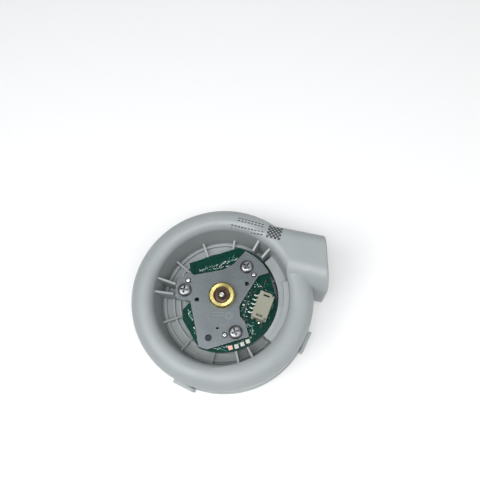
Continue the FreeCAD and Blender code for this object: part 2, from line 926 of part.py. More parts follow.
# ---------------------------------------------------------------- circuit board


def chord_points(radius, normal_angle, distance):
    """Where a flat at a distance from the centre cuts a circle, anticlockwise order."""
    spread = math.degrees(math.acos(distance / radius))
    return on_circle(radius, normal_angle - spread), on_circle(radius, normal_angle + spread)


def circuit_board():
    """Board with a flat on two sides, cut back on the left to leave one boss free."""
    body = part_body("circuit_board")
    radius = number(D.board_radius)
    free_edge, low_left_x = -12.9, -10.4

    def draw(sketch):
        right = chord_points(radius, 14.5, 23.2)
        top = chord_points(radius, 107.0, 20.2)
        low_left = (low_left_x, -math.sqrt(radius**2 - low_left_x**2))
        outline(
            sketch,
            [
                (*right[0], D.board_radius, 1),
                right[1],
                (*top[0], D.board_radius, 1),
                (-15.6, 16.3),
                (-14.2, 8.4),
                (free_edge, 6.4),
                (free_edge, -0.4),
                (-15.3, -2.6),
                (-17.9, -5.4),
                (-17.9, -9.8),
                low_left,
            ],
        )
        circle(sketch, 0, 0, D.holder_radius + 0.4)
        for angle in (0.0, 2 * LEFT_SCREW):
            boss = on_circle(number(D.screw_circle), number(D.screw_angle) + angle)
            circle(sketch, *boss, D.boss_radius + 0.5)
        # Three of the plate's holes go on through the board.
        for distance, angle, hole in PLATE_HOLES[:3]:
            circle(sketch, *on_circle(distance, angle), hole + 0.1)

    extrude(body, draw, D.board_top - D.board_thickness, D.board_thickness)
    keep("circuit_board", body)


# ---------------------------------------------------------------- bearing holder and bearings

WASHER_TOP = D.lower_bearing_base + D.bearing_width + 0.6


def bearing_holder():
    """Turned brass tube, staked into the plate, with a bearing seat at each end."""
    body = part_body("bearing_holder")
    seat, top = D.bearing_radius, D.holder_top
    bevel = 0.7
    revolve(
        body,
        [
            (seat, D.holder_bottom),
            (D.holder_radius, D.holder_bottom),
            (D.holder_radius, PLATE_TOP),
            (D.holder_flange_radius, PLATE_TOP),
            (D.holder_flange_radius, top - bevel),
            (D.holder_flange_radius - bevel, top),
            (seat + 0.35, top),
            (seat, top - 0.35),
            (seat, D.upper_bearing_base),
            (D.holder_bore, D.upper_bearing_base),
            (D.holder_bore, WASHER_TOP),
            (seat, WASHER_TOP),
        ],
    )
    keep("bearing_holder", body)


def preload_washer():
    """Coned spring washer between the holder's shoulder and the lower bearing's outer ring."""
    body = part_body("preload_washer")
    inner, outer = D.holder_bore + 0.05, D.bearing_radius - 0.05
    low, high = D.lower_bearing_base + D.bearing_width, WASHER_TOP
    sheet_metal = 0.2
    revolve(
        body,
        [(outer, low), (outer, low + sheet_metal), (inner, high), (inner, high - sheet_metal)],
    )
    keep("preload_washer", body)


def bearing(prefix, base):
    """A deep-groove ball bearing: two rings, balls, a cage and two shields."""
    middle, width = base + D.bearing_width / 2, D.bearing_width
    groove = D.groove_radius
    inner_land, outer_land = D.ball_circle - 0.4, D.ball_circle + 0.4
    half = math.sqrt(number(groove) ** 2 - 0.4**2)

    inner = part_body(f"{prefix}_inner_ring")
    revolve(
        inner,
        [
            (D.shaft_radius, base),
            (inner_land, base),
            (inner_land, middle - half),
            (inner_land, middle + half, groove, -1),
            (inner_land, base + width),
            (D.shaft_radius, base + width),
        ],
    )
    keep(f"{prefix}_inner_ring", inner)

    outer = part_body(f"{prefix}_outer_ring")
    revolve(
        outer,
        [
            (outer_land, base),
            (D.bearing_radius, base),
            (D.bearing_radius, base + width),
            (outer_land, base + width),
            (outer_land, middle + half),
            (outer_land, middle - half, groove, -1),
        ],
    )
    keep(f"{prefix}_outer_ring", outer)

    def ball_body(name, radius):
        body = part_body(name)
        ball = revolve(
            body,
            [
                (0, middle - radius),
                (radius, middle, radius, 1),
                (0, middle + radius, radius, 1),
            ],
            shift=D.ball_circle,
        )
        polar(body, ball, D.ball_count)
        return body

    keep(f"{prefix}_balls", ball_body(f"{prefix}_balls", D.ball_radius))
    ring = part_body(f"{prefix}_cage_ring")
    revolve(
        ring,
        [
            (D.ball_circle - 0.2, middle - 0.75),
            (D.ball_circle + 0.2, middle - 0.75),
            (D.ball_circle + 0.2, middle + 0.75),
            (D.ball_circle - 0.2, middle + 0.75),
        ],
    )
    pockets = ball_body(f"{prefix}_pockets", D.ball_radius + 0.04)
    keep(f"{prefix}_cage", cut(f"{prefix}_cage", ring, pockets))

    shields = []
    for k, low in enumerate((base + 0.1, base + width - 0.25)):
        shield = part_body(f"{prefix}_shield_{k}")
        revolve(
            shield,
            [
                (inner_land + 0.1, low),
                (outer_land, low),
                (outer_land, low + 0.15),
                (inner_land + 0.1, low + 0.15),
            ],
        )
        shields.append(shield)
    keep(f"{prefix}_shields", group(f"{prefix}_shields", shields))


# ---------------------------------------------------------------- stator


STATOR_HUB = 6.2
END_PLATE = 0.8  # insulator on each end of the stack
COIL_RISE = 1.05  # of the wire over the insulator


def stator_core():
    """Lamination stack with a hub and nine teeth."""
    body = part_body("stator_core")
    hub = STATOR_HUB

    def rim(sketch):
        circle(sketch, 0, 0, hub)
        circle(sketch, 0, 0, D.holder_radius)

    extrude(body, rim, D.stator_base, D.stator_height)
    half, tip = D.tooth_width / 2, on_circle(number(D.stator_radius), 16.5)

    def tooth(sketch):
        outline(
            sketch,
            [
                (hub - 0.3, -half),
                (9.2, -half),
                (9.3, -2.9),
                (tip[0], -tip[1]),
                (tip[0], tip[1], D.stator_radius, 1),
                (9.3, 2.9),
                (9.2, half),
                (hub - 0.3, half),
            ],
        )

    polar(body, extrude(body, tooth, D.stator_base, D.stator_height), D.tooth_count)
    keep("stator_core", body)


def insulator(name, base, thickness, flange_base, flange_height, posts):
    """Moulded end insulator: hub ring, a finger and an end flange at each tooth, board posts if asked."""
    body = part_body(name)
    hub = STATOR_HUB

    def rim(sketch):
        circle(sketch, 0, 0, hub)
        circle(sketch, 0, 0, D.holder_radius + 0.2)

    def finger(sketch):
        half = D.tooth_width / 2 + 0.2
        outline(sketch, [(hub - 0.4, -half), (9.4, -half), (9.4, half), (hub - 0.4, half)])

    def flange(sketch):
        outline(sketch, [(9.25, -2.4), (10.0, -2.4), (10.0, 2.4), (9.25, 2.4)])

    extrude(body, rim, base, thickness)
    polar(body, extrude(body, finger, base, thickness), D.tooth_count)
    polar(body, extrude(body, flange, flange_base, flange_height), D.tooth_count)
    if posts:
        height = D.board_top - D.board_thickness - base
        post = extrude(body, lambda s: circle(s, 5.55, 0, 0.6), base, height)
        polar(body, post, 3)
    keep(name, body)


def stator():
    top = D.stator_base + D.stator_height
    stator_core()
    low, end = D.stator_base, END_PLATE
    insulator("upper_insulator", top, end, top, 2.6, posts=True)
    insulator("lower_insulator", low - end, end, low - 2.0, 2.0, posts=False)


def stator_windings():
    """A coil of copper wire wound round each tooth, drawn as one rounded ring."""
    body = part_body("stator_windings")
    low, high = D.stator_base - END_PLATE, D.stator_base + D.stator_height + END_PLATE
    inner, build = D.tooth_width / 2 + 0.2, 0.92
    outer, rise = inner + build, COIL_RISE
    corner = 0.8
    sketch = new_sketch(body, "YZ_Plane", lift=STATOR_HUB + 0.25)
    outline(
        sketch,
        [
            (-outer + corner, low - rise, corner, 1),
            (outer - corner, low - rise),
            (outer, low - rise + corner, corner, 1),
            (outer, high + rise - corner),
            (outer - corner, high + rise, corner, 1),
            (-outer + corner, high + rise),
            (-outer, high + rise - corner, corner, 1),
            (-outer, low - rise + corner),
        ],
    )
    outline(sketch, [(-inner, low), (inner, low), (inner, high), (-inner, high)])
    coil = body.newObject("PartDesign::Pad", "coil")
    coil.Profile = (sketch, [""])
    coil.Length = 2.6
    body.Tip = coil
    polar(body, coil, D.tooth_count)
    keep("stator_windings", body)


def winding_leads():
    """Four wire ends that rise from the coils to the board."""
    wires = []
    low = D.stator_base + D.stator_height + END_PLATE + COIL_RISE
    for k, angle in enumerate((0.0, 80.0, 160.0, 240.0)):
        wire = cylinder(f"lead_{k}", 0.25, D.board_top - D.board_thickness - low)
        wires.append(place(wire, *on_circle(7.6, angle), low))
    keep("winding_leads", group("winding_leads", wires))


# ---------------------------------------------------------------- rotor


def rotor_shaft():
    body = part_body("rotor_shaft")
    r, bottom, top = D.shaft_radius, D.shaft_bottom, D.shaft_top
    clip = D.upper_bearing_base + D.bearing_width
    revolve(
        body,
        [
            (0, bottom),
            (r - 0.3, bottom),
            (r, bottom + 0.3),
            (r, clip),
            (r - 0.3, clip),
            (r - 0.3, clip + 0.4),
            (r, clip + 0.4),
            (r, top - 0.35),
            (r - 0.35, top),
            (0, top),
        ],
    )
    keep("rotor_shaft", body)


def shaft_clip():
    """Open retaining ring in the shaft's groove, against the upper bearing's inner ring."""
    body = part_body("shaft_clip")
    inner, outer, gap = D.shaft_radius - 0.3, D.shaft_radius + 0.85, 35.0
    base = D.upper_bearing_base + D.bearing_width

    def draw(sketch):
        inside, outside = number(inner), number(outer)
        outline(
            sketch,
            [
                (*on_circle(inside, -gap), inner, -1),
                on_circle(outside, -gap),
                (*on_circle(outside, 90.0), outer, 1),
                (*on_circle(outside, 180.0 + gap), outer, 1),
                on_circle(inside, 180.0 + gap),
                (*on_circle(inside, 90.0), inner, -1),
            ],
        )

    extrude(body, draw, base, 0.4)
    keep("shaft_clip", body)


BUSH_RADIUS = 2.6


def rotor_cup():
    """Deep-drawn steel cup that carries the magnet."""
    body = part_body("rotor_cup")
    r, wall, base = D.cup_radius, D.cup_wall, D.cup_base
    bend = 1.2
    revolve(
        body,
        [
            (BUSH_RADIUS, base),
            (r - bend, base),
            (r, base + bend, bend, 1),
            (r, D.cup_top),
            (r - wall, D.cup_top),
            (r - wall, base + bend),
            (r - bend, base + wall, bend - wall, -1),
            (BUSH_RADIUS, base + wall),
        ],
    )
    keep("rotor_cup", body)


def magnet_ring():
    """Ring magnet bonded inside the cup."""
    magnet = part_body("magnet_ring")
    r, wall = D.cup_radius, D.cup_wall
    low, high = D.cup_base + wall + 0.5, D.cup_top - 0.4
    revolve(
        magnet,
        [
            (D.magnet_inner_radius, low),
            (r - wall, low),
            (r - wall, high),
            (D.magnet_inner_radius, high),
        ],
    )
    keep("magnet_ring", magnet)


def rotor_bush():
    """Brass bush that joins the cup to the shaft and spaces the lower bearing's inner ring."""
    bush = part_body("rotor_bush")
    base = D.cup_base
    floor = base + D.cup_wall
    revolve(
        bush,
        [
            (D.shaft_radius, base - 0.5),
            (BUSH_RADIUS, base - 0.5),
            (BUSH_RADIUS, floor),
            (3.8, floor),
            (3.8, floor + 0.5),
            (2.05, floor + 0.5),
            (2.05, D.lower_bearing_base),
            (D.shaft_radius, D.lower_bearing_base),
        ],
    )
    keep("rotor_bush", bush)


# ---------------------------------------------------------------- impeller

SHROUD_EYE_HEIGHT = 7.0
SHROUD_TIP_HEIGHT = 9.4
INSERT_RADIUS = 3.0


def impeller():
    """Back plate, hub and backward-curved blades, moulded as one."""
    body = part_body("impeller")
    back, tip = D.impeller_back, D.impeller_radius
    revolve(
        body,
        [
            (INSERT_RADIUS, back - 5.6),
            (4.2, back - 5.6),
            (4.8, back - 5.0),
            (10.5, back, 6.5, -1),
            (tip, back),
            (tip, back + D.back_plate),
            (INSERT_RADIUS, back + D.back_plate),
        ],
    )
    root, sweep, bend = 10.4, 48.0, 19.0
    start, end = (root, 0.0), on_circle(number(tip) - 0.4, sweep)
    chord = math.atan2(end[1] - start[1], end[0] - start[0])
    half_turn = math.asin(math.dist(start, end) / 2 / bend)
    thick = D.blade_thickness

    def beside(point, heading):
        return (point[0] - thick * math.sin(heading), point[1] + thick * math.cos(heading))

    def blade(sketch):
        outline(
            sketch,
            [
                start,
                (*end, bend, 1),
                beside(end, chord + half_turn),
                (*beside(start, chord - half_turn), bend - thick, -1),
            ],
        )

    blades = extrude(body, blade, back - 8.0, 8.2)
    polar(body, blades, D.blade_count)
    revolve(
        body,
        [
            (9.0, back - 9.0),
            (tip + 1, back - 9.0),
            (tip + 1, SHROUD_TIP_HEIGHT),
            (tip, SHROUD_TIP_HEIGHT),
            (D.eye_radius, SHROUD_EYE_HEIGHT),
            (9.0, back - 3.6),
        ],
        cut=True,
    )
    keep("impeller", body)


def impeller_shroud():
    """Front ring welded to the blades, with the eye that runs round the inlet nozzle."""
    body = part_body("impeller_shroud")
    eye, tip, skin = D.eye_radius, D.impeller_radius, 1.0
    revolve(
        body,
        [
            (eye, D.inlet_lip - 0.5),
            (eye + skin, D.inlet_lip - 0.5),
            (eye + skin, SHROUD_EYE_HEIGHT - 0.8),
            (tip, SHROUD_TIP_HEIGHT - skin),
            (tip, SHROUD_TIP_HEIGHT),
            (eye, SHROUD_EYE_HEIGHT),
        ],
    )
    keep("impeller_shroud", body)


def impeller_insert():
    """Brass bush moulded into the hub and pressed on the shaft."""
    body = part_body("impeller_insert")
    back = D.impeller_back
    revolve(
        body,
        [
            (D.shaft_radius, back - 5.6),
            (INSERT_RADIUS, back - 5.6),
            (INSERT_RADIUS, back + D.back_plate),
            (D.shaft_radius, back + D.back_plate),
        ],
    )
    keep("impeller_insert", body)


# ---------------------------------------------------------------- parts on the board

CONNECTOR_ANGLE = -22.0
CONNECTOR_DISTANCE = 18.7
CONNECTOR_SHIFT = 1.97  # sideways, so the header isn't in line with the rotor axis
CONTACTS = 5
CONTACT_PITCH = 2.0


def on_board(solid, along, across, height, angle=CONNECTOR_ANGLE, distance=CONNECTOR_DISTANCE):
    """Places a block by its corner, in a frame turned to angle at a distance from the axis."""
    radians = math.radians(angle)
    x = (distance + along) * math.cos(radians) - across * math.sin(radians)
    y = (distance + along) * math.sin(radians) + across * math.cos(radians)
    return place(solid, x, y, height, angle)


def connector():
    """Five-way side-entry header, its contacts and its two solder tabs."""
    deck = D.board_top
    side_shift = CONNECTOR_SHIFT
    rear, front, half, tall = -3.3, 3.3, 6.0, 4.8
    shell = on_board(box("header_block", front - rear, 2 * half, tall), rear, side_shift - half, deck)
    ears = on_board(box("header_ears", 1.2, 2 * half + 1.2, 2.6), rear, side_shift - half - 0.6, deck)
    cavity = on_board(box("header_cavity", 6.0, 10.2, 3.4), -1.9, side_shift - 5.1, deck + 0.7)
    slots = [
        on_board(box(f"header_slot_{k}", 2.9, 0.8, 2.0), -1.5, side_shift + side, deck + 3.6)
        for k, side in enumerate((-5.0, 4.2))
    ]
    notches = [
        on_board(box(f"header_notch_{k}", 1.6, 1.2, 6.0), 2.2, side_shift + side, deck + 2.6)
        for k, side in enumerate((-half - 0.1, half - 1.1))
    ]
    pins = []
    for k in range(CONTACTS):
        side = side_shift + (k - (CONTACTS - 1) / 2) * CONTACT_PITCH - 0.25
        blade = on_board(box(f"contact_blade_{k}", 5.9, 0.5, 0.5), rear - 0.6, side, deck + 2.1)
        drop = on_board(box(f"contact_drop_{k}", 0.6, 0.5, 2.6), rear - 0.6, side, deck)
        foot = on_board(box(f"contact_foot_{k}", 2.2, 0.5, 0.35), rear - 2.4, side, deck)
        pins.append(fuse(f"contact_{k}", [blade, drop, foot]))
    contacts = keep("header_contacts", group("header_contacts", pins))
    tabs = [
        on_board(box(f"solder_tab_{k}", 3.0, 0.9, 1.1), -0.9, side_shift + side, deck)
        for k, side in enumerate((-half - 0.9, half))
    ]
    keep("header_solder_tabs", group("header_solder_tabs", tabs))
    solid_shell = fuse("header_joined", [shell, ears])
    open_shell = cut("header_open", solid_shell, fuse("header_cuts", [cavity] + slots + notches))
    keep("header_housing", cut("header_housing", open_shell, contacts))


# Parts soldered on the board. Each row: name, (length, width, height), and for each part its
# distance from the axis, its direction and its turn.
BOARD_PARTS = [
    ("test_pads", (1.8, 1.8, 0.12), [(22.7, -81.0 + 6.8 * k, 16.0) for k in range(4)]),
    ("driver_chip", (6.0, 6.0, 0.9), [(8.9, 222.0, 17.0)]),
    ("power_transistors", (4.9, 5.4, 0.95), [(9.4, 95.0, 17.0), (9.4, 140.0, 17.0)]),
    (
        "chip_capacitors",
        (1.6, 0.85, 0.8),
        [
            (14.6, 8.0, 20.0),
            (18.2, 12.5, 20.0),
            (20.6, 19.0, 80.0),
            (21.6, -38.0, 60.0),
            (14.9, -46.0, 16.0),
        ],
    ),
    (
        "chip_resistors",
        (1.0, 0.5, 0.35),
        [(11.0, -3.0 - 7.5 * k, 74.0) for k in range(5)]
        + [
            (12.9, 4.0, 74.0),
            (12.4, -44.0, 16.0),
            (15.2, 97.0, 17.0),
            (15.0, 112.0, 17.0),
            (14.9, 126.0, 17.0),
        ],
    ),
]


def chips():
    """The parts soldered on the board's upper side."""
    for name, (length, width, height), spots in BOARD_PARTS:
        blocks = []
        for k, (radius, angle, swing) in enumerate(spots):
            block = box(f"{name}_{k}", length, width, height)
            x, y = on_circle(radius, angle)
            along, across = on_circle(1.0, swing)
            x -= length / 2 * along - width / 2 * across
            y -= length / 2 * across + width / 2 * along
            blocks.append(place(block, x, y, D.board_top, swing))
        keep(name, group(name, blocks) if len(blocks) > 1 else blocks[0])


def hall_sensors():
    """Three sensors under the board, over the gap between the stator and the magnet."""
    length, width, height = 1.4, 2.9, 1.0
    base = D.board_top - D.board_thickness - height
    sensors = []
    for k in range(3):
        sensor = box(f"hall_{k}", length, width, height)
        angle = 20.0 + 40.0 * k
        sensors.append(on_board(sensor, -length / 2, -width / 2, base, angle, 11.8))
    keep("hall_sensors", group("hall_sensors", sensors))


def build_all():
    whole = hollow_casing()
    motor_side_shell(whole)
    inlet_side_shell(whole)
    inlet_seal()
    motor_plate()
    motor_screws()
    locating_pins()
    circuit_board()
    bearing_holder()
    preload_washer()
    bearing("upper_bearing", D.upper_bearing_base)
    bearing("lower_bearing", D.lower_bearing_base)
    stator()
    stator_windings()
    winding_leads()
    rotor_shaft()
    shaft_clip()
    rotor_cup()
    magnet_ring()
    rotor_bush()
    impeller()
    impeller_shroud()
    impeller_insert()
    connector()
    chips()
    hall_sensors()


build_all()


# ---------------------------------------------------------------- check and write

doc.recompute()
for item in doc.Objects:
    if "Invalid" in item.State or "Error" in item.State:
        raise RuntimeError(f"{item.Label} failed: {item.State}")
os.makedirs("parts", exist_ok=True)
for name, item in nodes.items():
    shape = item.Shape
    if shape.isNull() or not shape.isValid() or not shape.Solids:
        raise RuntimeError(f"{name} has no valid solid")
    shape.exportStep(f"parts/{name}.step")
    print(f"{name}: {len(shape.Solids)} solid(s), {shape.Volume:.1f} mm3")
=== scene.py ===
"""Looks of a robot vacuum's suction blower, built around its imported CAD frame."""
import json
import math
import random

import bmesh
import bpy
from mathutils import Matrix, Vector, noise
from mathutils.bvhtree import BVHTree

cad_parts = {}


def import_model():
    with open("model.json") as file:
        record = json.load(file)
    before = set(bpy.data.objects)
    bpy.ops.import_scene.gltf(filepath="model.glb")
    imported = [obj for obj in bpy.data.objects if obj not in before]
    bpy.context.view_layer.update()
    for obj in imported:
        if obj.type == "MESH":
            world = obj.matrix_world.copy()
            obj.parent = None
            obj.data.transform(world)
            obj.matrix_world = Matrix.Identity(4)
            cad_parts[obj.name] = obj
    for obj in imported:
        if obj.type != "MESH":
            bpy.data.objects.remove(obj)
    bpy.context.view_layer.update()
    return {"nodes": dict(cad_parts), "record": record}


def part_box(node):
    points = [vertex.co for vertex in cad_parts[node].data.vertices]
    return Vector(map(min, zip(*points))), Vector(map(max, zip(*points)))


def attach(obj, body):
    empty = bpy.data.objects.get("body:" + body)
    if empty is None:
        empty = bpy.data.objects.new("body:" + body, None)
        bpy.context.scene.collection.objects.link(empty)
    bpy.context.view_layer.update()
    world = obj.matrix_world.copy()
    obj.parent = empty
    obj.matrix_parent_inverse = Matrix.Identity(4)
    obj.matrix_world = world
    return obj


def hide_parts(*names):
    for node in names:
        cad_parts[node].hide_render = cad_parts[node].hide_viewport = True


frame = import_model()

MM = 0.001
SCENE = bpy.context.scene
SCENE.view_settings.view_transform = "Standard"
NODES = frame["nodes"]


# ---------------------------------------------------------------- node helpers


class Nodes:
    """A material's node tree, with short calls for the nodes that the finishes below share."""

    def __init__(self, name):
        self.material = bpy.data.materials.new(name)
        self.material.use_nodes = True
        self.tree = self.material.node_tree
        self.shader = self.tree.nodes["Principled BSDF"]
        self.place = self.tree.nodes.new("ShaderNodeTexCoord").outputs["Object"]

    def join(self, value, socket):
        """Links or sets a socket, whichever value calls for."""
        if hasattr(value, "links"):
            self.tree.links.new(value, socket)
        elif isinstance(value, tuple) and len(value) == 3 and socket.type == "RGBA":
            socket.default_value = (*value, 1.0)
        else:
            socket.default_value = value

    def set(self, **inputs):
        """Sets the shader's inputs, with _ for a space in a name."""
        for name, value in inputs.items():
            self.join(value, self.shader.inputs[name.replace("_", " ")])

    def stretched(self, scale):
        """Object coordinates scaled per axis."""
        mapping = self.tree.nodes.new("ShaderNodeMapping")
        mapping.inputs["Scale"].default_value = scale
        self.tree.links.new(self.place, mapping.inputs["Vector"])
        return mapping.outputs["Vector"]

    def noise(self, scale, detail=3.0, rough=0.55, stretch=None):
        """Noise at scale features per metre of the object, from 0 to 1."""
        node = self.tree.nodes.new("ShaderNodeTexNoise")
        node.inputs["Scale"].default_value = scale
        node.inputs["Detail"].default_value = detail
        node.inputs["Roughness"].default_value = rough
        vector = self.stretched(stretch) if stretch else self.place
        self.tree.links.new(vector, node.inputs["Vector"])
        return node.outputs["Fac"]

    def cells(self, scale):
        """Distance to the nearest of scattered points, scale of them per metre."""
        node = self.tree.nodes.new("ShaderNodeTexVoronoi")
        node.inputs["Scale"].default_value = scale
        self.tree.links.new(self.place, node.inputs["Vector"])
        return node.outputs["Distance"]

    def radius(self):
        """Distance from the rotor axis, in metres."""
        flat = self.stretched((1.0, 1.0, 0.0))
        node = self.tree.nodes.new("ShaderNodeVectorMath")
        node.operation = "LENGTH"
        self.tree.links.new(flat, node.inputs[0])
        return node.outputs["Value"]

    def axis(self, name):
        """One object coordinate, X, Y or Z, in metres."""
        node = self.tree.nodes.new("ShaderNodeSeparateXYZ")
        self.tree.links.new(self.place, node.inputs["Vector"])
        return node.outputs[name]

    def wave(self, value, period):
        """A sine of value, from 0 to 1, with the given period."""
        turns = self.math("MULTIPLY", value, 2 * math.pi / period)
        return self.ramp(self.math("SINE", turns), 0.0, 1.0, -1.0, 1.0)

    def worn(self, radius, start=0.01, stop=0.25):
        """1 on convex edges of about radius metres, 0 elsewhere."""
        bevel = self.tree.nodes.new("ShaderNodeBevel")
        bevel.inputs["Radius"].default_value = radius
        flat = self.tree.nodes.new("ShaderNodeNewGeometry")
        dot = self.tree.nodes.new("ShaderNodeVectorMath")
        dot.operation = "DOT_PRODUCT"
        self.tree.links.new(bevel.outputs["Normal"], dot.inputs[0])
        self.tree.links.new(flat.outputs["Normal"], dot.inputs[1])
        return self.ramp(self.math("SUBTRACT", 1.0, dot.outputs["Value"]), 0.0, 1.0, start, stop)

    def shelter(self, distance):
        """0 in crevices that are narrower than distance metres, 1 in the open."""
        node = self.tree.nodes.new("ShaderNodeAmbientOcclusion")
        node.samples = 8
        node.inputs["Distance"].default_value = distance
        return node.outputs["AO"]

    def ramp(self, value, low, high, start=0.0, stop=1.0):
        """Maps value from the range start..stop to low..high, clamped."""
        node = self.tree.nodes.new("ShaderNodeMapRange")
        self.join(value, node.inputs["Value"])
        node.inputs["From Min"].default_value = start
        node.inputs["From Max"].default_value = stop
        node.inputs["To Min"].default_value = low
        node.inputs["To Max"].default_value = high
        return node.outputs["Result"]

    def mix(self, factor, first, second):
        """Colour between first and second."""
        node = self.tree.nodes.new("ShaderNodeMix")
        node.data_type = "RGBA"
        self.join(factor, node.inputs[0])
        self.join(first, node.inputs[6])
        self.join(second, node.inputs[7])
        return node.outputs[2]

    def math(self, kind, first, second=0.0):
        node = self.tree.nodes.new("ShaderNodeMath")
        node.operation = kind
        self.join(first, node.inputs[0])
        self.join(second, node.inputs[1])
        return node.outputs[0]

    def bump(self, height, distance, strength=1.0, normal=None):
        """A normal from height, on top of another normal if one is given."""
        node = self.tree.nodes.new("ShaderNodeBump")
        node.inputs["Distance"].default_value = distance
        node.inputs["Strength"].default_value = strength
        self.tree.links.new(height, node.inputs["Height"])
        if normal is not None:
            self.tree.links.new(normal, node.inputs["Normal"])
        return node.outputs["Normal"]


# ---------------------------------------------------------------- plastics and soft parts


def moulded(name, dark, light, roughness, grain=9000.0, shade_amount=0.25):
    """Moulded plastic: matt grain, faint flow marks, paler rubbed edges and painted shade in the
    corners.
    """
    n = Nodes(name)
    cloud = n.noise(38.0, 4.0, 0.6)
    flow = n.noise(120.0, 3.0, 0.5, stretch=(1.0, 1.0, 0.15))
    skin = n.noise(grain, 2.0)
    speck = n.noise(2600.0, 2.0, 0.7)
    color = n.mix(n.ramp(cloud, 0.0, 1.0, 0.3, 0.7), dark, light)
    rubbed = n.math("MULTIPLY", n.worn(0.0005), n.ramp(n.noise(300.0), 0.1, 0.55, 0.35, 0.65))
    color = n.mix(rubbed, color, tuple(min(1.0, c * 1.3) for c in light))
    # Painted shade: ambient occlusion darkens the colour towards the dark tone in corners and crevices.
    painted_corner_shade = n.ramp(n.shelter(0.004), shade_amount, 0.0, 0.25, 0.8)
    color = n.mix(painted_corner_shade, color, tuple(c * 0.35 for c in dark))
    color = n.mix(n.ramp(speck, 0.0, 0.35, 0.70, 0.78), color, tuple(c * 0.6 for c in dark))
    fine = n.bump(skin, 0.00002, 0.35)
    n.set(
        Base_Color=color,
        Roughness=n.ramp(flow, roughness - 0.05, roughness + 0.07, 0.3, 0.7),
        Normal=n.bump(flow, 0.00006, 0.12, fine),
    )
    return n


def casing_plastic():
    # The 0.04 adds a faint painted shade in its corners.
    n = moulded("casing_plastic", (0.295, 0.322, 0.328), (0.330, 0.356, 0.362), 0.44, shade_amount=0.04)
    n.set(Specular_IOR_Level=0.45)
    return n.material


def impeller_plastic():
    """Glass-filled nylon: dark, with pale fibres just under the skin."""
    n = moulded("impeller_plastic", (0.018, 0.019, 0.021), (0.035, 0.036, 0.038), 0.5, 5000.0)
    fibre = n.noise(2500.0, 1.0, 0.5, stretch=(0.25, 1.0, 1.0))
    color = n.mix(n.ramp(fibre, 0.0, 0.5, 0.62, 0.72), (0.024, 0.025, 0.027), (0.12, 0.12, 0.12))
    n.set(Base_Color=color)
    return n.material


def insulator_plastic():
    return moulded("insulator_plastic", (0.010, 0.010, 0.011), (0.022, 0.022, 0.023), 0.5).material


def header_plastic():
    """Cream nylon with a slight glow through thin walls."""
    # The 0.6 darkens its corners as painted shade.
    n = moulded("header_plastic", (0.21, 0.213, 0.160), (0.265, 0.265, 0.205), 0.42, shade_amount=0.6)
    n.set(Subsurface_Weight=0.05, Subsurface_Radius=(0.4 * MM, 0.3 * MM, 0.2 * MM))
    return n.material


def chip_black():
    """Moulded epoxy, fine sandblasted grain."""
    n = Nodes("chip_black")
    tone = n.noise(700.0, 3.0)
    n.set(
        Base_Color=n.mix(tone, (0.008, 0.008, 0.009), (0.022, 0.022, 0.024)),
        Roughness=n.ramp(tone, 0.45, 0.65),
        Normal=n.bump(n.noise(16000.0, 1.0), 0.00001, 0.5),
    )
    return n.material


def capacitor_ceramic():
    """Dark ceramic with a matt skin."""
    n = Nodes("capacitor_ceramic")
    tone = n.noise(1500.0, 2.0)
    n.set(
        Base_Color=n.mix(tone, (0.018, 0.022, 0.018), (0.045, 0.048, 0.04)),
        Roughness=0.45,
        Specular_IOR_Level=0.2,
        Normal=n.bump(tone, 0.00002, 0.3),
    )
    return n.material


def seal_foam():
    """Closed-cell foam: dark, full of small pits."""
    n = Nodes("seal_foam")
    pits = n.cells(2200.0)
    color = n.mix(n.ramp(pits, 0.0, 1.0, 0.0, 0.6), (0.006, 0.006, 0.007), (0.04, 0.04, 0.043))
    n.set(Base_Color=color, Roughness=0.95, Normal=n.bump(pits, 0.0003, 0.7))
    return n.material


# ---------------------------------------------------------------- metals


def metal(name, dark, light, roughness, scratches=True, shade_amount=0.3, nook=0.0012):
    """Plain metal with a cloudy tone, fine scratches, brighter edges and painted shade in the corners.
    """
    n = Nodes(name)
    cloud = n.noise(160.0, 4.0, 0.6)
    color = n.mix(n.ramp(cloud, 0.0, 1.0, 0.32, 0.68), dark, light)
    rubbed = n.math("MULTIPLY", n.worn(0.00015), 0.45)
    color = n.mix(rubbed, color, tuple(min(1.0, c * 1.6) for c in light))
    # Painted shade: ambient occlusion darkens crevices narrower than nook.
    painted_crevice_shade = n.ramp(n.shelter(nook), shade_amount, 0.0, 0.2, 0.8)
    color = n.mix(painted_crevice_shade, color, tuple(c * 0.15 for c in dark))
    rough = n.ramp(cloud, roughness, roughness + 0.12, 0.3, 0.7)
    n.set(Base_Color=color, Metallic=1.0, Roughness=rough)
    if scratches:
        lines = n.noise(2200.0, 3.0, 0.7, stretch=(1.0, 6.0, 1.0))
        n.set(Normal=n.bump(lines, 0.00002, 0.35))
    return n


def plate_steel():
    """Zinc-coated sheet: a satin grey with faint spangles, stains and handling marks."""
    n = Nodes("plate_steel")
    cloud, stain = n.noise(55.0, 4.0, 0.6), n.noise(210.0, 5.0, 0.7)
    spangle = n.cells(900.0)
    color = n.mix(n.ramp(cloud, 0.0, 1.0, 0.35, 0.65), (0.088, 0.104, 0.113), (0.122, 0.138, 0.148))
    color = n.mix(n.ramp(spangle, 0.10, 0.0, 0.0, 0.5), color, (0.28, 0.29, 0.30))
    color = n.mix(n.ramp(stain, 0.0, 0.35, 0.62, 0.7), color, (0.07, 0.078, 0.085))
    color = n.mix(n.math("MULTIPLY", n.worn(0.0002), 0.7), color, (0.55, 0.56, 0.57))
    rolled = n.noise(1500.0, 3.0, 0.7, stretch=(1.0, 9.0, 1.0))
    n.set(
        Base_Color=color,
        Metallic=0.55,
        Roughness=n.ramp(stain, 0.4, 0.55, 0.3, 0.7),
        Normal=n.bump(rolled, 0.00003, 0.3),
        Specular_IOR_Level=0.4,
    )
    return n.material


def screw_steel():
    dark, light = (0.19, 0.195, 0.205), (0.30, 0.305, 0.31)
    # The darkening in the cross recess, set by the last two values, is painted shade.
    return metal("screw_steel", dark, light, 0.3, shade_amount=0.95, nook=0.003).material


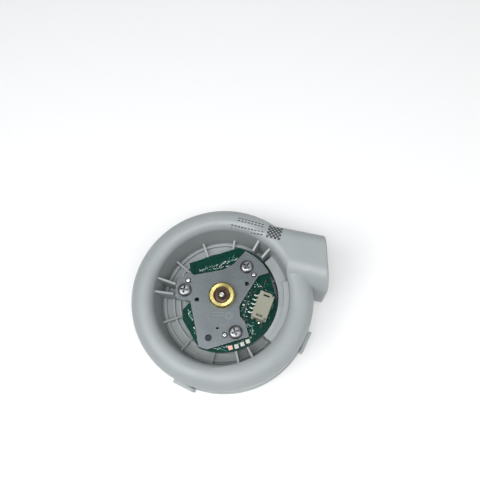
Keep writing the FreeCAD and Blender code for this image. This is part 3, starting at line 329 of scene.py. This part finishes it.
def pin_steel():
    n = metal("pin_steel", (0.6, 0.6, 0.6), (0.8, 0.8, 0.8), 0.12, scratches=False)
    n.set(Normal=n.bump(n.wave(n.radius(), 0.00016), 0.000008, 0.3))
    return n.material


def brass():
    """Turned brass: fine rings that spread the light into bow ties, slight tarnish."""
    # The 0.7 darkens the crevices as painted shade.
    n = metal("brass", (0.50, 0.42, 0.15), (0.74, 0.64, 0.28), 0.2, scratches=False, shade_amount=0.7)
    rings = n.bump(n.wave(n.radius(), 0.0003), 0.000006, 0.2)
    tangent = n.tree.nodes.new("ShaderNodeTangent")
    tangent.direction_type = "RADIAL"
    tangent.axis = "Z"
    n.set(
        Normal=n.bump(n.noise(700.0, 2.0), 0.000008, 0.2, rings),
        Anisotropic=0.75,
        Tangent=tangent.outputs["Tangent"],
    )
    return n.material


def bearing_steel():
    n = metal("bearing_steel", (0.42, 0.42, 0.42), (0.6, 0.6, 0.6), 0.14, scratches=False)
    n.set(Normal=n.bump(n.wave(n.radius(), 0.0002), 0.00001, 0.3))
    return n.material


def bearing_face():
    """The seen side of the upper bearing: oily and brown between its rings."""
    n = metal("bearing_face", (0.06, 0.032, 0.022), (0.15, 0.085, 0.06), 0.22, scratches=False)
    n.set(Normal=n.bump(n.wave(n.radius(), 0.0003), 0.00003, 0.5), Metallic=0.7)
    return n.material


def dark_ring():
    n = metal("dark_ring", (0.03, 0.022, 0.02), (0.075, 0.052, 0.045), 0.25, scratches=False)
    n.set(Normal=n.bump(n.noise(3000.0), 0.00001, 0.3))
    return n.material


def shaft_end():
    """Ground shaft: its end has a painted highlight in the middle and is dark towards the rim."""
    n = metal("shaft_end", (0.5, 0.5, 0.5), (0.75, 0.74, 0.72), 0.12, scratches=False)
    tone = n.noise(2500.0, 2.0)
    # Painted highlight: the middle is bright, and the end turns dark beyond about 1 mm from the axis.
    rim = n.ramp(n.math("ADD", n.radius(), n.ramp(tone, -0.0002, 0.0002)), 0.0, 1.0, 0.0009, 0.00115)
    color = n.mix(rim, n.mix(tone, (0.6, 0.57, 0.54), (0.85, 0.83, 0.8)), (0.035, 0.024, 0.022))
    n.set(Base_Color=color, Normal=n.bump(n.wave(n.radius(), 0.0003), 0.00002, 0.4))
    return n.material


def pad_tin():
    """Flat solder on the square pads: less bright than a domed joint."""
    return tin("pad_tin", (0.25, 0.25, 0.235), (0.42, 0.42, 0.40))


def tin_in_painted_shade():
    """Tinned tabs under the header, coloured dark green as painted shade from the header over them."""
    return tin("tin_in_painted_shade", (0.04, 0.055, 0.045), (0.10, 0.12, 0.10))


def plug_plastic():
    n = moulded("plug_plastic", (0.026, 0.034, 0.037), (0.042, 0.051, 0.055), 0.5)
    n.set(Specular_IOR_Level=0.12)
    return n.material


def spring_steel():
    return metal("spring_steel", (0.10, 0.10, 0.10), (0.2, 0.2, 0.2), 0.3).material


def lamination_steel():
    """A stack of thin sheets, seen as fine lines along its edge."""
    # The near-black colour is painted shade: it makes the plate's small holes over the stator look dark.
    n = metal("lamination_steel", (0.03, 0.03, 0.032), (0.07, 0.07, 0.073), 0.4, scratches=False)
    n.set(Normal=n.bump(n.wave(n.axis("Z"), 0.00035), 0.00006, 0.8))
    return n.material


def copper_wire():
    """Enamelled wire: turns run round each coil."""
    n = Nodes("copper_wire")
    turns = n.wave(n.radius(), 0.00034)
    tone = n.noise(500.0, 3.0)
    n.set(
        Base_Color=n.mix(tone, (0.42, 0.13, 0.03), (0.62, 0.25, 0.08)),
        Metallic=0.85,
        Roughness=n.ramp(tone, 0.2, 0.35),
        Coat_Weight=0.6,
        Normal=n.bump(turns, 0.00012, 0.9),
    )
    return n.material


def magnet():
    n = moulded("magnet", (0.03, 0.03, 0.033), (0.06, 0.06, 0.063), 0.5, 4000.0)
    n.set(Metallic=0.3)
    return n.material


def tin(name="contact_tin", dark=(0.5, 0.5, 0.49), light=(0.78, 0.78, 0.76)):
    """Tinned metal or solder: bright, slightly lumpy."""
    n = Nodes(name)
    tone = n.noise(900.0, 3.0)
    n.set(
        Base_Color=n.mix(tone, dark, light),
        Metallic=0.9,
        Roughness=n.ramp(tone, 0.18, 0.38),
        Normal=n.bump(tone, 0.00005, 0.4),
    )
    return n.material


# ---------------------------------------------------------------- circuit board finishes


def board_laminate():
    """Green solder mask over a ground plane: copper edges show as a soft relief."""
    n = Nodes("board_laminate")
    tone = n.noise(90.0, 4.0)
    relief = n.ramp(n.cells(420.0), 0.0, 1.0, 0.30, 0.34)
    color = n.mix(tone, (0.0010, 0.020, 0.0145), (0.0020, 0.032, 0.0235))
    color = n.mix(n.math("MULTIPLY", relief, 0.3), color, (0.007, 0.060, 0.042))
    edge = n.math("MULTIPLY", n.worn(0.0002), 0.5)
    n.set(
        Base_Color=n.mix(edge, color, (0.10, 0.13, 0.06)),
        Roughness=n.ramp(tone, 0.26, 0.4),
        Specular_IOR_Level=0.07,
        Normal=n.bump(relief, 0.00003, 0.35, n.bump(n.noise(2400.0, 2.0), 0.00001, 0.3)),
    )
    return n.material


def copper_under_mask():
    """A track under the solder mask, paler than the bare board."""
    n = Nodes("copper_under_mask")
    tone = n.noise(600.0, 2.0)
    n.set(
        Base_Color=n.mix(tone, (0.05, 0.20, 0.15), (0.16, 0.40, 0.32)),
        Roughness=0.3,
        Normal=n.bump(tone, 0.00001, 0.3),
    )
    return n.material


def board_ink():
    n = Nodes("board_ink")
    tone = n.noise(3000.0, 2.0)
    n.set(Base_Color=n.mix(tone, (0.42, 0.5, 0.46), (0.7, 0.76, 0.72)), Roughness=0.6)
    n.set(Normal=n.bump(tone, 0.00002, 0.3))
    return n.material


def printed_ink():
    """Dark pad-printed ink, a little uneven."""
    n = Nodes("printed_ink")
    tone = n.noise(1800.0, 3.0)
    n.set(Base_Color=n.mix(tone, (0.018, 0.02, 0.024), (0.05, 0.053, 0.058)), Roughness=0.55)
    n.set(Normal=n.bump(tone, 0.00001, 0.3))
    return n.material


def red_pad():
    """The first pad of a row, tinted by flux."""
    n = Nodes("red_pad")
    tone = n.noise(1500.0, 2.0)
    n.set(
        Base_Color=n.mix(tone, (0.55, 0.2, 0.17), (0.72, 0.36, 0.32)),
        Metallic=0.4,
        Roughness=0.35,
        Normal=n.bump(tone, 0.00003, 0.4),
    )
    return n.material


FINISHES = {
    "casing_plastic": casing_plastic,
    "seal_foam": seal_foam,
    "plate_steel": plate_steel,
    "screw_steel": screw_steel,
    "pin_steel": pin_steel,
    "brass": brass,
    "bearing_steel": bearing_steel,
    "spring_steel": spring_steel,
    "lamination_steel": lamination_steel,
    "insulator_plastic": insulator_plastic,
    "copper_wire": copper_wire,
    "magnet": magnet,
    "impeller_plastic": impeller_plastic,
    "board_laminate": board_laminate,
    "header_plastic": header_plastic,
    "contact_tin": tin,
    "chip_black": chip_black,
    "capacitor_ceramic": capacitor_ceramic,
}
# Nodes that look different from the rest of their slot.
SPECIAL = {
    "upper_bearing_shields": bearing_face,
    "upper_bearing_inner_ring": dark_ring,
    "upper_bearing_outer_ring": dark_ring,
    "shaft_clip": dark_ring,
    "rotor_shaft": shaft_end,
    "header_solder_tabs": tin_in_painted_shade,
    "test_pads": pad_tin,
}
MADE = {}


def finish(slot):
    if slot not in MADE:
        MADE[slot] = FINISHES[slot]()
    return MADE[slot]


def dress():
    """Gives every CAD node its finish."""
    for entry in frame["record"]["subparts"]:
        node = NODES[entry["node"]]
        node.data.materials.clear()
        special = SPECIAL.get(entry["node"])
        node.data.materials.append(special() if special else finish(entry["material_slot"]))


# ---------------------------------------------------------------- small pieces on top of the CAD

BOARD_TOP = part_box("circuit_board")[1][2]
PLATE_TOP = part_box("motor_plate")[1][2]
HOLDER_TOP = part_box("bearing_holder")[1][2]
ABOVE = 0.06  # a height over the whole part, in metres, to look down from
DOWN = Vector((0, 0, -1))
# The header's frame: its heading, its place along and across that, and its pitch, in mm.
HEADER_ANGLE, HEADER_DISTANCE, HEADER_SHIFT, PITCH = math.radians(-22.0), 18.7, 1.97, 2.0
LEAD_END, TAB_ALONG, TAB_ACROSS = -4.75, 0.6, 6.9  # solder places in that frame


def piece(name, mesh, material):
    """A new shown piece that rides on the housing."""
    data = bpy.data.meshes.new(name)
    bmesh.ops.recalc_face_normals(mesh, faces=mesh.faces)
    mesh.to_mesh(data)
    mesh.free()
    item = bpy.data.objects.new(name, data)
    item.data.materials.append(material)
    SCENE.collection.objects.link(item)
    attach(item, "housing")
    return item


def slab(mesh, corners, thick):
    """A thin closed prism: its upper face is corners, in metres, and it reaches down by thick."""
    upper = [mesh.verts.new(c) for c in corners]
    lower = [mesh.verts.new((c[0], c[1], c[2] - thick)) for c in corners]
    mesh.faces.new(upper)
    mesh.faces.new(list(reversed(lower)))
    for i in range(len(corners)):
        j = (i + 1) % len(corners)
        mesh.faces.new((upper[j], upper[i], lower[i], lower[j]))


def ribbon(mesh, start, end, width, height, thick=0.03 * MM):
    """A flat bar between two points given in mm, with its top at height in metres."""
    a, b = Vector((*start, 0.0)) * MM, Vector((*end, 0.0)) * MM
    along = (b - a).normalized()
    side = Vector((-along.y, along.x, 0.0)) * width * MM / 2
    grow = along * width * MM / 2
    lift = Vector((0.0, 0.0, height))
    corners = [a - grow - side, b + grow - side, b + grow + side, a - grow + side]
    slab(mesh, [c + lift for c in corners], thick)


def circle(mesh, x, y, radius, height, sides):
    """A ring of vertices, x, y and radius in mm and height in metres."""
    turns = [2 * math.pi * i / sides for i in range(sides)]
    return [
        mesh.verts.new(((x + radius * math.cos(t)) * MM, (y + radius * math.sin(t)) * MM, height))
        for t in turns
    ]


def wall(mesh, loops):
    """Faces between each ring and the next, and a floor under the first."""
    for low, high in zip(loops, loops[1:]):
        for i in range(len(low)):
            j = (i + 1) % len(low)
            mesh.faces.new((low[i], low[j], high[j], high[i]))
    mesh.faces.new(list(reversed(loops[0])))


def dome(mesh, x, y, height, radius, rise, sides=14, rings=4):
    """A rounded blob of solder, x, y, radius and rise in mm."""
    lifts = [math.radians(90.0 * k / rings) for k in range(rings)]
    loops = [
        circle(mesh, x, y, radius * math.cos(lift), height + rise * math.sin(lift) * MM, sides)
        for lift in lifts
    ]
    wall(mesh, loops)
    top = mesh.verts.new((x * MM, y * MM, height + rise * MM))
    for i in range(sides):
        mesh.faces.new((loops[-1][i], loops[-1][(i + 1) % sides], top))


def smooth(item):
    """Shades every face of a piece smooth."""
    for face in item.data.polygons:
        face.use_smooth = True
    return item


def header_spot(along, across):
    """The x and y, in mm, of a place given in the header's own frame."""
    c, s = math.cos(HEADER_ANGLE), math.sin(HEADER_ANGLE)
    across += HEADER_SHIFT
    x = (HEADER_DISTANCE + along) * c - across * s
    y = (HEADER_DISTANCE + along) * s + across * c
    return x, y


def header_solder():
    """Solder on the header's five leads and its two tabs."""
    mesh = bmesh.new()
    for k in range(5):
        x, y = header_spot(LEAD_END, (k - 2) * PITCH)
        dome(mesh, x, y, BOARD_TOP - 0.01 * MM, 0.46, 0.5)
    for side in (-TAB_ACROSS, TAB_ACROSS):
        x, y = header_spot(TAB_ALONG, side)
        dome(mesh, x, y, BOARD_TOP - 0.01 * MM, 0.45, 0.2)
    smooth(piece("header_solder", mesh, tin("solder", (0.62, 0.62, 0.6), (0.85, 0.85, 0.83))))


def on_board(x, y, margin=0.35):
    """True where the board is bare, from a look straight down on the CAD nodes."""
    for dx, dy in ((0, 0), (margin, 0), (-margin, 0), (0, margin), (0, -margin)):
        start = Vector(((x + dx) * MM, (y + dy) * MM, ABOVE))
        best, hit_name = -1.0, None
        for name, tree in COVERS.items():
            place = tree.ray_cast(start, DOWN)[0]
            if place is not None and place.z > best:
                best, hit_name = place.z, name
        if hit_name != "circuit_board":
            return False
    return True


def tree_of(name):
    """A CAD node's faces, to cast rays at."""
    node = NODES[name]
    mesh = bmesh.new()
    mesh.from_mesh(node.data)
    mesh.transform(node.matrix_world)
    tree = BVHTree.FromBMesh(mesh)
    mesh.free()
    return tree


COVERS = {
    name: tree_of(name)
    for name in (
        "circuit_board",
        "motor_plate",
        "header_housing",
        "header_contacts",
        "test_pads",
        "driver_chip",
        "power_transistors",
        "chip_capacitors",
        "chip_resistors",
        "header_solder_tabs",
        "motor_screws",
    )
}


# Groups of marks on the board, in mm: two ends of a line, how far they stray from it, how many,
# and the share that are dashes rather than spots.
CLUSTERS = [
    ((-10.8, 12.3), (-6.5, 14.0), 0.5, 26, 0.35),
    ((-6.5, 14.0), (6.8, 18.0), 0.5, 62, 0.35),
    ((-7.0, 12.6), (4.0, 15.0), 0.35, 30, 0.5),
    ((14.5, 6.0), (19.5, 3.0), 1.8, 26, 0.3),
    ((8.6, -7.0), (12.8, 3.6), 1.0, 60, 0.5),
    ((9.4, -10.0), (10.6, -1.0), 0.9, 44, 0.6),
    ((10.4, -12.0), (13.6, -17.5), 1.6, 46, 0.5),
    ((20.4, -10.0), (22.4, -2.0), 0.7, 26, 0.4),
    ((-15.4, -5.6), (-13.6, -10.4), 0.5, 22, 0.6),
    ((-12.6, -13.0), (-10.4, -19.0), 0.8, 18, 0.4),
    ((-4.0, -23.0), (3.0, -22.0), 0.8, 22, 0.4),
    ((4.0, -21.0), (13.0, -19.0), 0.9, 22, 0.4),
]


def board_details():
    """Tracks, solder spots and ink ticks, in loose groups where the board can be seen."""
    rng = random.Random(11)
    tracks, spots, ink = bmesh.new(), bmesh.new(), bmesh.new()
    top = BOARD_TOP + 0.02 * MM
    for start, end, stray, count, dashes in CLUSTERS:
        start, end = Vector(start), Vector(end)
        along = (end - start).normalized()
        side = Vector((-along.y, along.x))
        for _ in range(count):
            spot = start.lerp(end, rng.random()) + side * rng.gauss(0.0, stray * 0.6)
            if rng.random() > dashes:
                if on_board(*spot, 0.3):
                    size = rng.choice((0.1, 0.14, 0.14, 0.26))
                    dome(spots, spot.x, spot.y, BOARD_TOP - 0.005 * MM, size, 0.1, 10, 2)
                continue
            lean = math.radians(rng.choice((0, 0, 0, 45, 90)))
            heading = along * math.cos(lean) + side * math.sin(lean)
            stop = spot + heading * rng.uniform(0.3, 1.1)
            if on_board(*spot, 0.2) and on_board(*stop, 0.2):
                target, width = (tracks, 0.16) if rng.random() < 0.6 else (ink, 0.12)
                ribbon(target, spot, stop, width, top + (0.0 if target is tracks else 0.01 * MM))
    for _ in range(60):
        # A few long tracks cross the plain areas.
        spot = Vector((rng.uniform(-17.0, 21.0), rng.uniform(-23.0, 20.0)))
        lean = HEADER_ANGLE + math.radians(rng.choice((0, 90, 90)))
        stop = spot + Vector((math.cos(lean), math.sin(lean))) * rng.uniform(1.5, 4.0)
        if all(on_board(*spot.lerp(stop, t), 0.2) for t in (0.0, 0.33, 0.66, 1.0)):
            ribbon(tracks, spot, stop, 0.12, top - 0.01 * MM)
    piece("board_tracks", tracks, copper_under_mask())
    smooth(piece("board_solder_spots", spots, tin("board_solder")))
    piece("board_ink", ink, board_ink())


def stake_marks():
    """Shallow punch marks where the holder is staked over the plate."""
    mesh = bmesh.new()
    count, first, outer_end, inner_end = 8, 18.0, 5.35, 4.55
    for k in range(count):
        angle = math.radians(first + 360.0 / count * k)
        along = Vector((math.cos(angle), math.sin(angle)))
        across = Vector((-along.y, along.x))
        outer, inner = along * outer_end, along * inner_end
        a, b = across * 0.26, across * 0.12
        # Each mark follows the bevel: its outer end is lower.
        low, high = HOLDER_TOP - 0.10 * MM, HOLDER_TOP + 0.02 * MM
        corners = ((outer - a, low), (outer + a, low), (inner + b, high), (inner - b, high))
        slab(mesh, [(c.x * MM, c.y * MM, height) for c, height in corners], 0.05 * MM)
    # The marks' darker colour is painted shade for the dents.
    n = metal("staked_brass", (0.36, 0.29, 0.10), (0.52, 0.43, 0.18), 0.3)
    piece("stake_marks", mesh, n.material)


def print_placeholder():
    """Plain dashes and a checker block where the casing carries its printing."""
    shell = tree_of("motor_side_shell")
    mesh = bmesh.new()
    tilt = math.radians(-16.0)
    along = Vector((math.cos(tilt), math.sin(tilt)))
    across = Vector((-math.sin(tilt), math.cos(tilt)))

    def on_shell(spot):
        place = shell.ray_cast(Vector((spot.x * MM, spot.y * MM, ABOVE)), DOWN)[0]
        return place and place + Vector((0, 0, 0.025 * MM))

    def bar(origin, start, length, low, high):
        """A thin mark that follows the shell, all in mm from origin, in cells of about 0.35 mm."""
        rows, columns = max(1, round((high - low) / 0.35)), max(1, round(length / 0.35))
        rights = [along * (start + length * i / columns) for i in range(columns + 1)]
        ups = [across * (low + (high - low) * j / rows) for j in range(rows + 1)]
        grid = [[on_shell(origin + right + up) for right in rights] for up in ups]
        if not all(all(line) for line in grid):
            return
        drop = Vector((0, 0, -0.04 * MM))
        upper = [[mesh.verts.new(spot) for spot in line] for line in grid]
        lower = [[mesh.verts.new(spot + drop) for spot in line] for line in grid]
        for j in range(rows):
            for i in range(columns):
                quad = ((j, i), (j, i + 1), (j + 1, i + 1), (j + 1, i))
                mesh.faces.new([upper[a][b] for a, b in quad])
                mesh.faces.new([lower[a][b] for a, b in reversed(quad)])
        rim = [(0, i) for i in range(columns)] + [(j, columns) for j in range(rows)]
        rim += [(rows, i) for i in range(columns, 0, -1)] + [(j, 0) for j in range(rows, 0, -1)]
        for (a, b), (c, d) in zip(rim, rim[1:] + rim[:1]):
            mesh.faces.new((lower[a][b], lower[c][d], upper[c][d], upper[a][b]))

    rows = ((7.4, 33.2, 8), (4.0, 30.2, 10))  # where each row starts, and its number of dashes
    for x, y, count in rows:
        for k in range(count):
            for low, high in ((0.0, 0.5), (1.25, 1.75)):
                bar(Vector((x, y)), 1.56 * k, 1.08, low, high)
    corner, size, cells, spread = Vector((20.0, 25.1)), 6.3, 7, 0.22
    step = size / cells
    for i in range(cells):
        for j in range(cells):
            if (i + j) % 2 == 0:
                bar(corner, i * step, step + spread, j * step, (j + 1) * step + spread)
    piece("print_placeholder", mesh, printed_ink())


def plate_marks():
    """A faint stamped ring and two scribed lines on the plate."""
    mesh = bmesh.new()
    top, thick = PLATE_TOP + 0.012 * MM, 0.02 * MM
    cx, cy, sides = 3.0, -8.9, 28
    for radius, stride in ((1.5, 1), (0.9, 2)):
        for i in range(0, sides, stride):  # the inner ring is dashed
            a, b = 2 * math.pi * i / sides, 2 * math.pi * (i + 1) / sides
            start = (cx + radius * math.cos(a), cy + radius * math.sin(a))
            end = (cx + radius * math.cos(b), cy + radius * math.sin(b))
            ribbon(mesh, start, end, 0.1, top, thick)
    for y in (-7.4, -8.6):
        ribbon(mesh, (-4.4, y), (0.6, y - 0.1), 0.07, top, thick)
    n = metal("scribed_steel", (0.19, 0.20, 0.21), (0.30, 0.305, 0.31), 0.35)
    piece("plate_marks", mesh, n.material)


def plate_plug():
    """The head of a plastic peg that fills the plate's large hole."""
    mesh = bmesh.new()
    x, y, radius = -5.87, -18.28, 1.42
    reach = PLATE_TOP - 0.12 * MM - BOARD_TOP
    # Share of the height and inset in mm, up the side and round the rim.
    profile = ((0.0, 0.0), (0.88, 0.0), (0.97, 0.1), (1.0, 0.3))
    loops = [circle(mesh, x, y, radius - inset, BOARD_TOP + part * reach, 40) for part, inset in profile]
    wall(mesh, loops)
    mesh.faces.new(loops[-1])
    piece("plate_plug", mesh, plug_plastic())


def first_pad():
    """Flux-tinted solder on the first of the four pads."""
    low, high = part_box("test_pads")
    pads = tree_of("test_pads")
    reach, step, count = 2.2, 0.1, 60  # mm from the row's start that hold the first pad, and the scan
    near = []
    for i in range(count):
        for j in range(count):
            x, y = low[0] / MM + step * i, low[1] / MM + step * j
            on_pad = pads.ray_cast(Vector((x * MM, y * MM, ABOVE)), DOWN)[0] is not None
            if on_pad and x < low[0] / MM + reach:
                near.append((x, y))
    cx = sum(p[0] for p in near) / len(near)
    cy = sum(p[1] for p in near) / len(near)
    swing = math.radians(16.0)
    c, s, half = math.cos(swing), math.sin(swing), 0.82
    mesh = bmesh.new()
    corners = [
        ((cx + u * c - v * s) * MM, (cy + u * s + v * c) * MM, high[2] + 0.04 * MM)
        for u, v in ((-half, -half), (half, -half), (half, half), (-half, half))
    ]
    slab(mesh, corners, 0.05 * MM)
    piece("tinted_pad", mesh, red_pad())


def foam_ring():
    """The foam ring round the inlet: soft corners, an uneven cut and pits over its whole skin."""
    low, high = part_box("inlet_seal")
    outer, inner = high[0] - 0.1 * MM, 20.15 * MM
    floor_z, top_z, soft = low[2] + 0.1 * MM, high[2] - 0.05 * MM, 0.55 * MM
    profile = []
    corners = (
        (outer - soft, floor_z + soft, -90),
        (outer - soft / 2, top_z - soft / 2, 0),
        (inner + soft / 2, top_z - soft / 2, 90),
        (inner + soft / 2, floor_z + soft / 2, 180),
    )
    for index, (x, z, start) in enumerate(corners):
        size = soft if index == 0 else soft / 2
        for step in range(5):
            turn = math.radians(start + 22.5 * step)
            profile.append((x + size * math.cos(turn), z + size * math.sin(turn)))
    # Even points round the section.
    section = []
    for (x0, z0), (x1, z1) in zip(profile, profile[1:] + profile[:1]):
        count = max(1, round(math.hypot(x1 - x0, z1 - z0) / (0.3 * MM)))
        section += [(x0 + (x1 - x0) * t / count, z0 + (z1 - z0) * t / count) for t in range(count)]
    middle_x = sum(x for x, _ in section) / len(section)
    middle_z = sum(z for _, z in section) / len(section)
    mesh = bmesh.new()
    sides, loops = 420, []
    for i in range(sides):
        turn = 2 * math.pi * i / sides
        loop = []
        for x, z in section:
            spot = Vector((x * math.cos(turn), x * math.sin(turn), z)) / MM
            slack = 0.05 + 0.05 * noise.noise(spot * 0.5) + 0.05 * abs(noise.noise(spot * 2.4))
            pull = slack * MM / max(1e-9, math.hypot(x - middle_x, z - middle_z))
            x, z = x + (middle_x - x) * pull, z + (middle_z - z) * pull
            loop.append(mesh.verts.new((x * math.cos(turn), x * math.sin(turn), z)))
        loops.append(loop)
    for i in range(sides):
        a, b = loops[i], loops[(i + 1) % sides]
        for j in range(len(section)):
            k = (j + 1) % len(section)
            mesh.faces.new((a[j], a[k], b[k], b[j]))
    item = smooth(piece("foam_ring", mesh, seal_foam()))
    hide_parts("inlet_seal")


# ---------------------------------------------------------------- camera, light, floor


def camera():
    """The photograph's view: nearly from above, close by, so the perspective is strong."""
    data = bpy.data.cameras.new("camera")
    target = Vector((0.0, 0.0, 0.0343))
    elevation, azimuth, roll = math.radians(69.6), math.radians(7.75), math.radians(-8.6)
    distance = 0.20
    back = Vector(
        (
            math.sin(azimuth) * math.cos(elevation),
            -math.cos(azimuth) * math.cos(elevation),
            math.sin(elevation),
        )
    )
    right = Vector((math.cos(azimuth), math.sin(azimuth), 0.0))
    up = back.cross(right)
    right, up = (
        math.cos(roll) * right + math.sin(roll) * up,
        -math.sin(roll) * right + math.cos(roll) * up,
    )
    data.sensor_width, data.lens = 36.0, 34.05
    across, rise = -8.07 * MM, -24.04 * MM  # where the shaft sits from the middle of the picture
    place = target + back * distance - right * across - up * rise
    rotation = Matrix((right, up, back)).transposed()
    item = bpy.data.objects.new("camera", data)
    item.matrix_world = Matrix.Translation(place) @ rotation.to_4x4()
    data.clip_start = 0.01
    SCENE.collection.objects.link(item)
    SCENE.camera = item


AIM = Vector((0, 0, 0.02))  # the middle of the part


def area_light(name, place, size, power):
    """A square lamp that shines on the middle of the part."""
    data = bpy.data.lights.new(name, "AREA")
    data.shape = "SQUARE"
    data.size = size
    data.energy = power
    item = bpy.data.objects.new(name, data)
    direction = AIM - Vector(place)
    item.rotation_euler = direction.to_track_quat("-Z", "Y").to_euler()
    item.location = place
    SCENE.collection.objects.link(item)


def floor():
    """A sheet of paper under the part, far wider than the picture."""
    data = bpy.data.meshes.new("floor")
    half = 3.0
    data.from_pydata(
        [(-half, -half, 0), (half, -half, 0), (half, half, 0), (-half, half, 0)], [], [(0, 1, 2, 3)]
    )
    item = bpy.data.objects.new("floor", data)
    SCENE.collection.objects.link(item)
    n = Nodes("floor_paper")
    n.set(Base_Color=(0.92, 0.92, 0.92, 1.0), Roughness=0.9, Normal=n.bump(n.noise(400.0), 0.0001, 0.1))
    item.data.materials.append(n.material)


# What mirror-like surfaces see: where each softbox lies, its width (1 minus the cosine of its
# half angle) and its strength.
SOFTBOXES = (
    ((-0.45, -0.25, 0.85), 0.16, 1.7),
    ((0.35, 0.75, 0.55), 0.12, 1.2),
    ((0.8, -0.3, 0.5), 0.08, 0.9),
    ((0.0, 0.1, 1.0), 0.5, 0.35),
    ((-0.36, 0.06, 0.94), 0.014, 10.0),
)
ROOM = 0.16  # strength between the softboxes


def world():
    """Even light for the surfaces, softboxes over a grey room for mirrors, white for the camera."""
    item = bpy.data.worlds.new("studio")
    item.use_nodes = True
    tree = item.node_tree

    def add(kind):
        return tree.nodes.new(kind)

    def total(first, second):
        node = add("ShaderNodeMath")
        tree.links.new(first, node.inputs[0])
        if isinstance(second, float):
            node.inputs[1].default_value = second
        else:
            tree.links.new(second, node.inputs[1])
        return node.outputs[0]

    def either(factor, first, second):
        node = add("ShaderNodeMixShader")
        for value, socket in zip((factor, first, second), node.inputs):
            tree.links.new(value, socket)
        return node.outputs["Shader"]

    direction = add("ShaderNodeTexCoord").outputs["Generated"]
    glows = []
    for aim, width, power in SOFTBOXES:
        dot = add("ShaderNodeVectorMath")
        dot.operation = "DOT_PRODUCT"
        tree.links.new(direction, dot.inputs[0])
        dot.inputs[1].default_value = Vector(aim).normalized()
        edge = add("ShaderNodeMapRange")
        edge.inputs["From Min"].default_value = 1.0 - width
        edge.inputs["From Max"].default_value = 1.0 - width * 0.6
        edge.inputs["To Max"].default_value = power
        tree.links.new(dot.outputs["Value"], edge.inputs["Value"])
        glows.append(edge.outputs["Result"])
    glow = glows[0]
    for other in glows[1:]:
        glow = total(glow, other)

    even = tree.nodes["Background"]
    mirror, backdrop = add("ShaderNodeBackground"), add("ShaderNodeBackground")
    even.inputs["Color"].default_value = (0.95, 0.975, 1.0, 1.0)
    even.inputs["Strength"].default_value = 0.29
    tree.links.new(total(glow, ROOM), mirror.inputs["Strength"])
    backdrop.inputs["Strength"].default_value = 0.93
    path = add("ShaderNodeLightPath").outputs
    lit = either(path["Is Glossy Ray"], even.outputs[0], mirror.outputs[0])
    seen = either(path["Is Camera Ray"], lit, backdrop.outputs[0])
    tree.links.new(seen, tree.nodes["World Output"].inputs["Surface"])
    SCENE.world = item


dress()
header_solder()
board_details()
stake_marks()
plate_marks()
plate_plug()
first_pad()
print_placeholder()
foam_ring()
camera()
floor()
world()
area_light("key", (-0.45, -0.25, 0.75), 0.5, 3.6)
area_light("fill", (0.5, -0.25, 0.7), 0.7, 2.0)
area_light("overhead", (0.02, -0.16, 0.62), 0.3, 1.9)
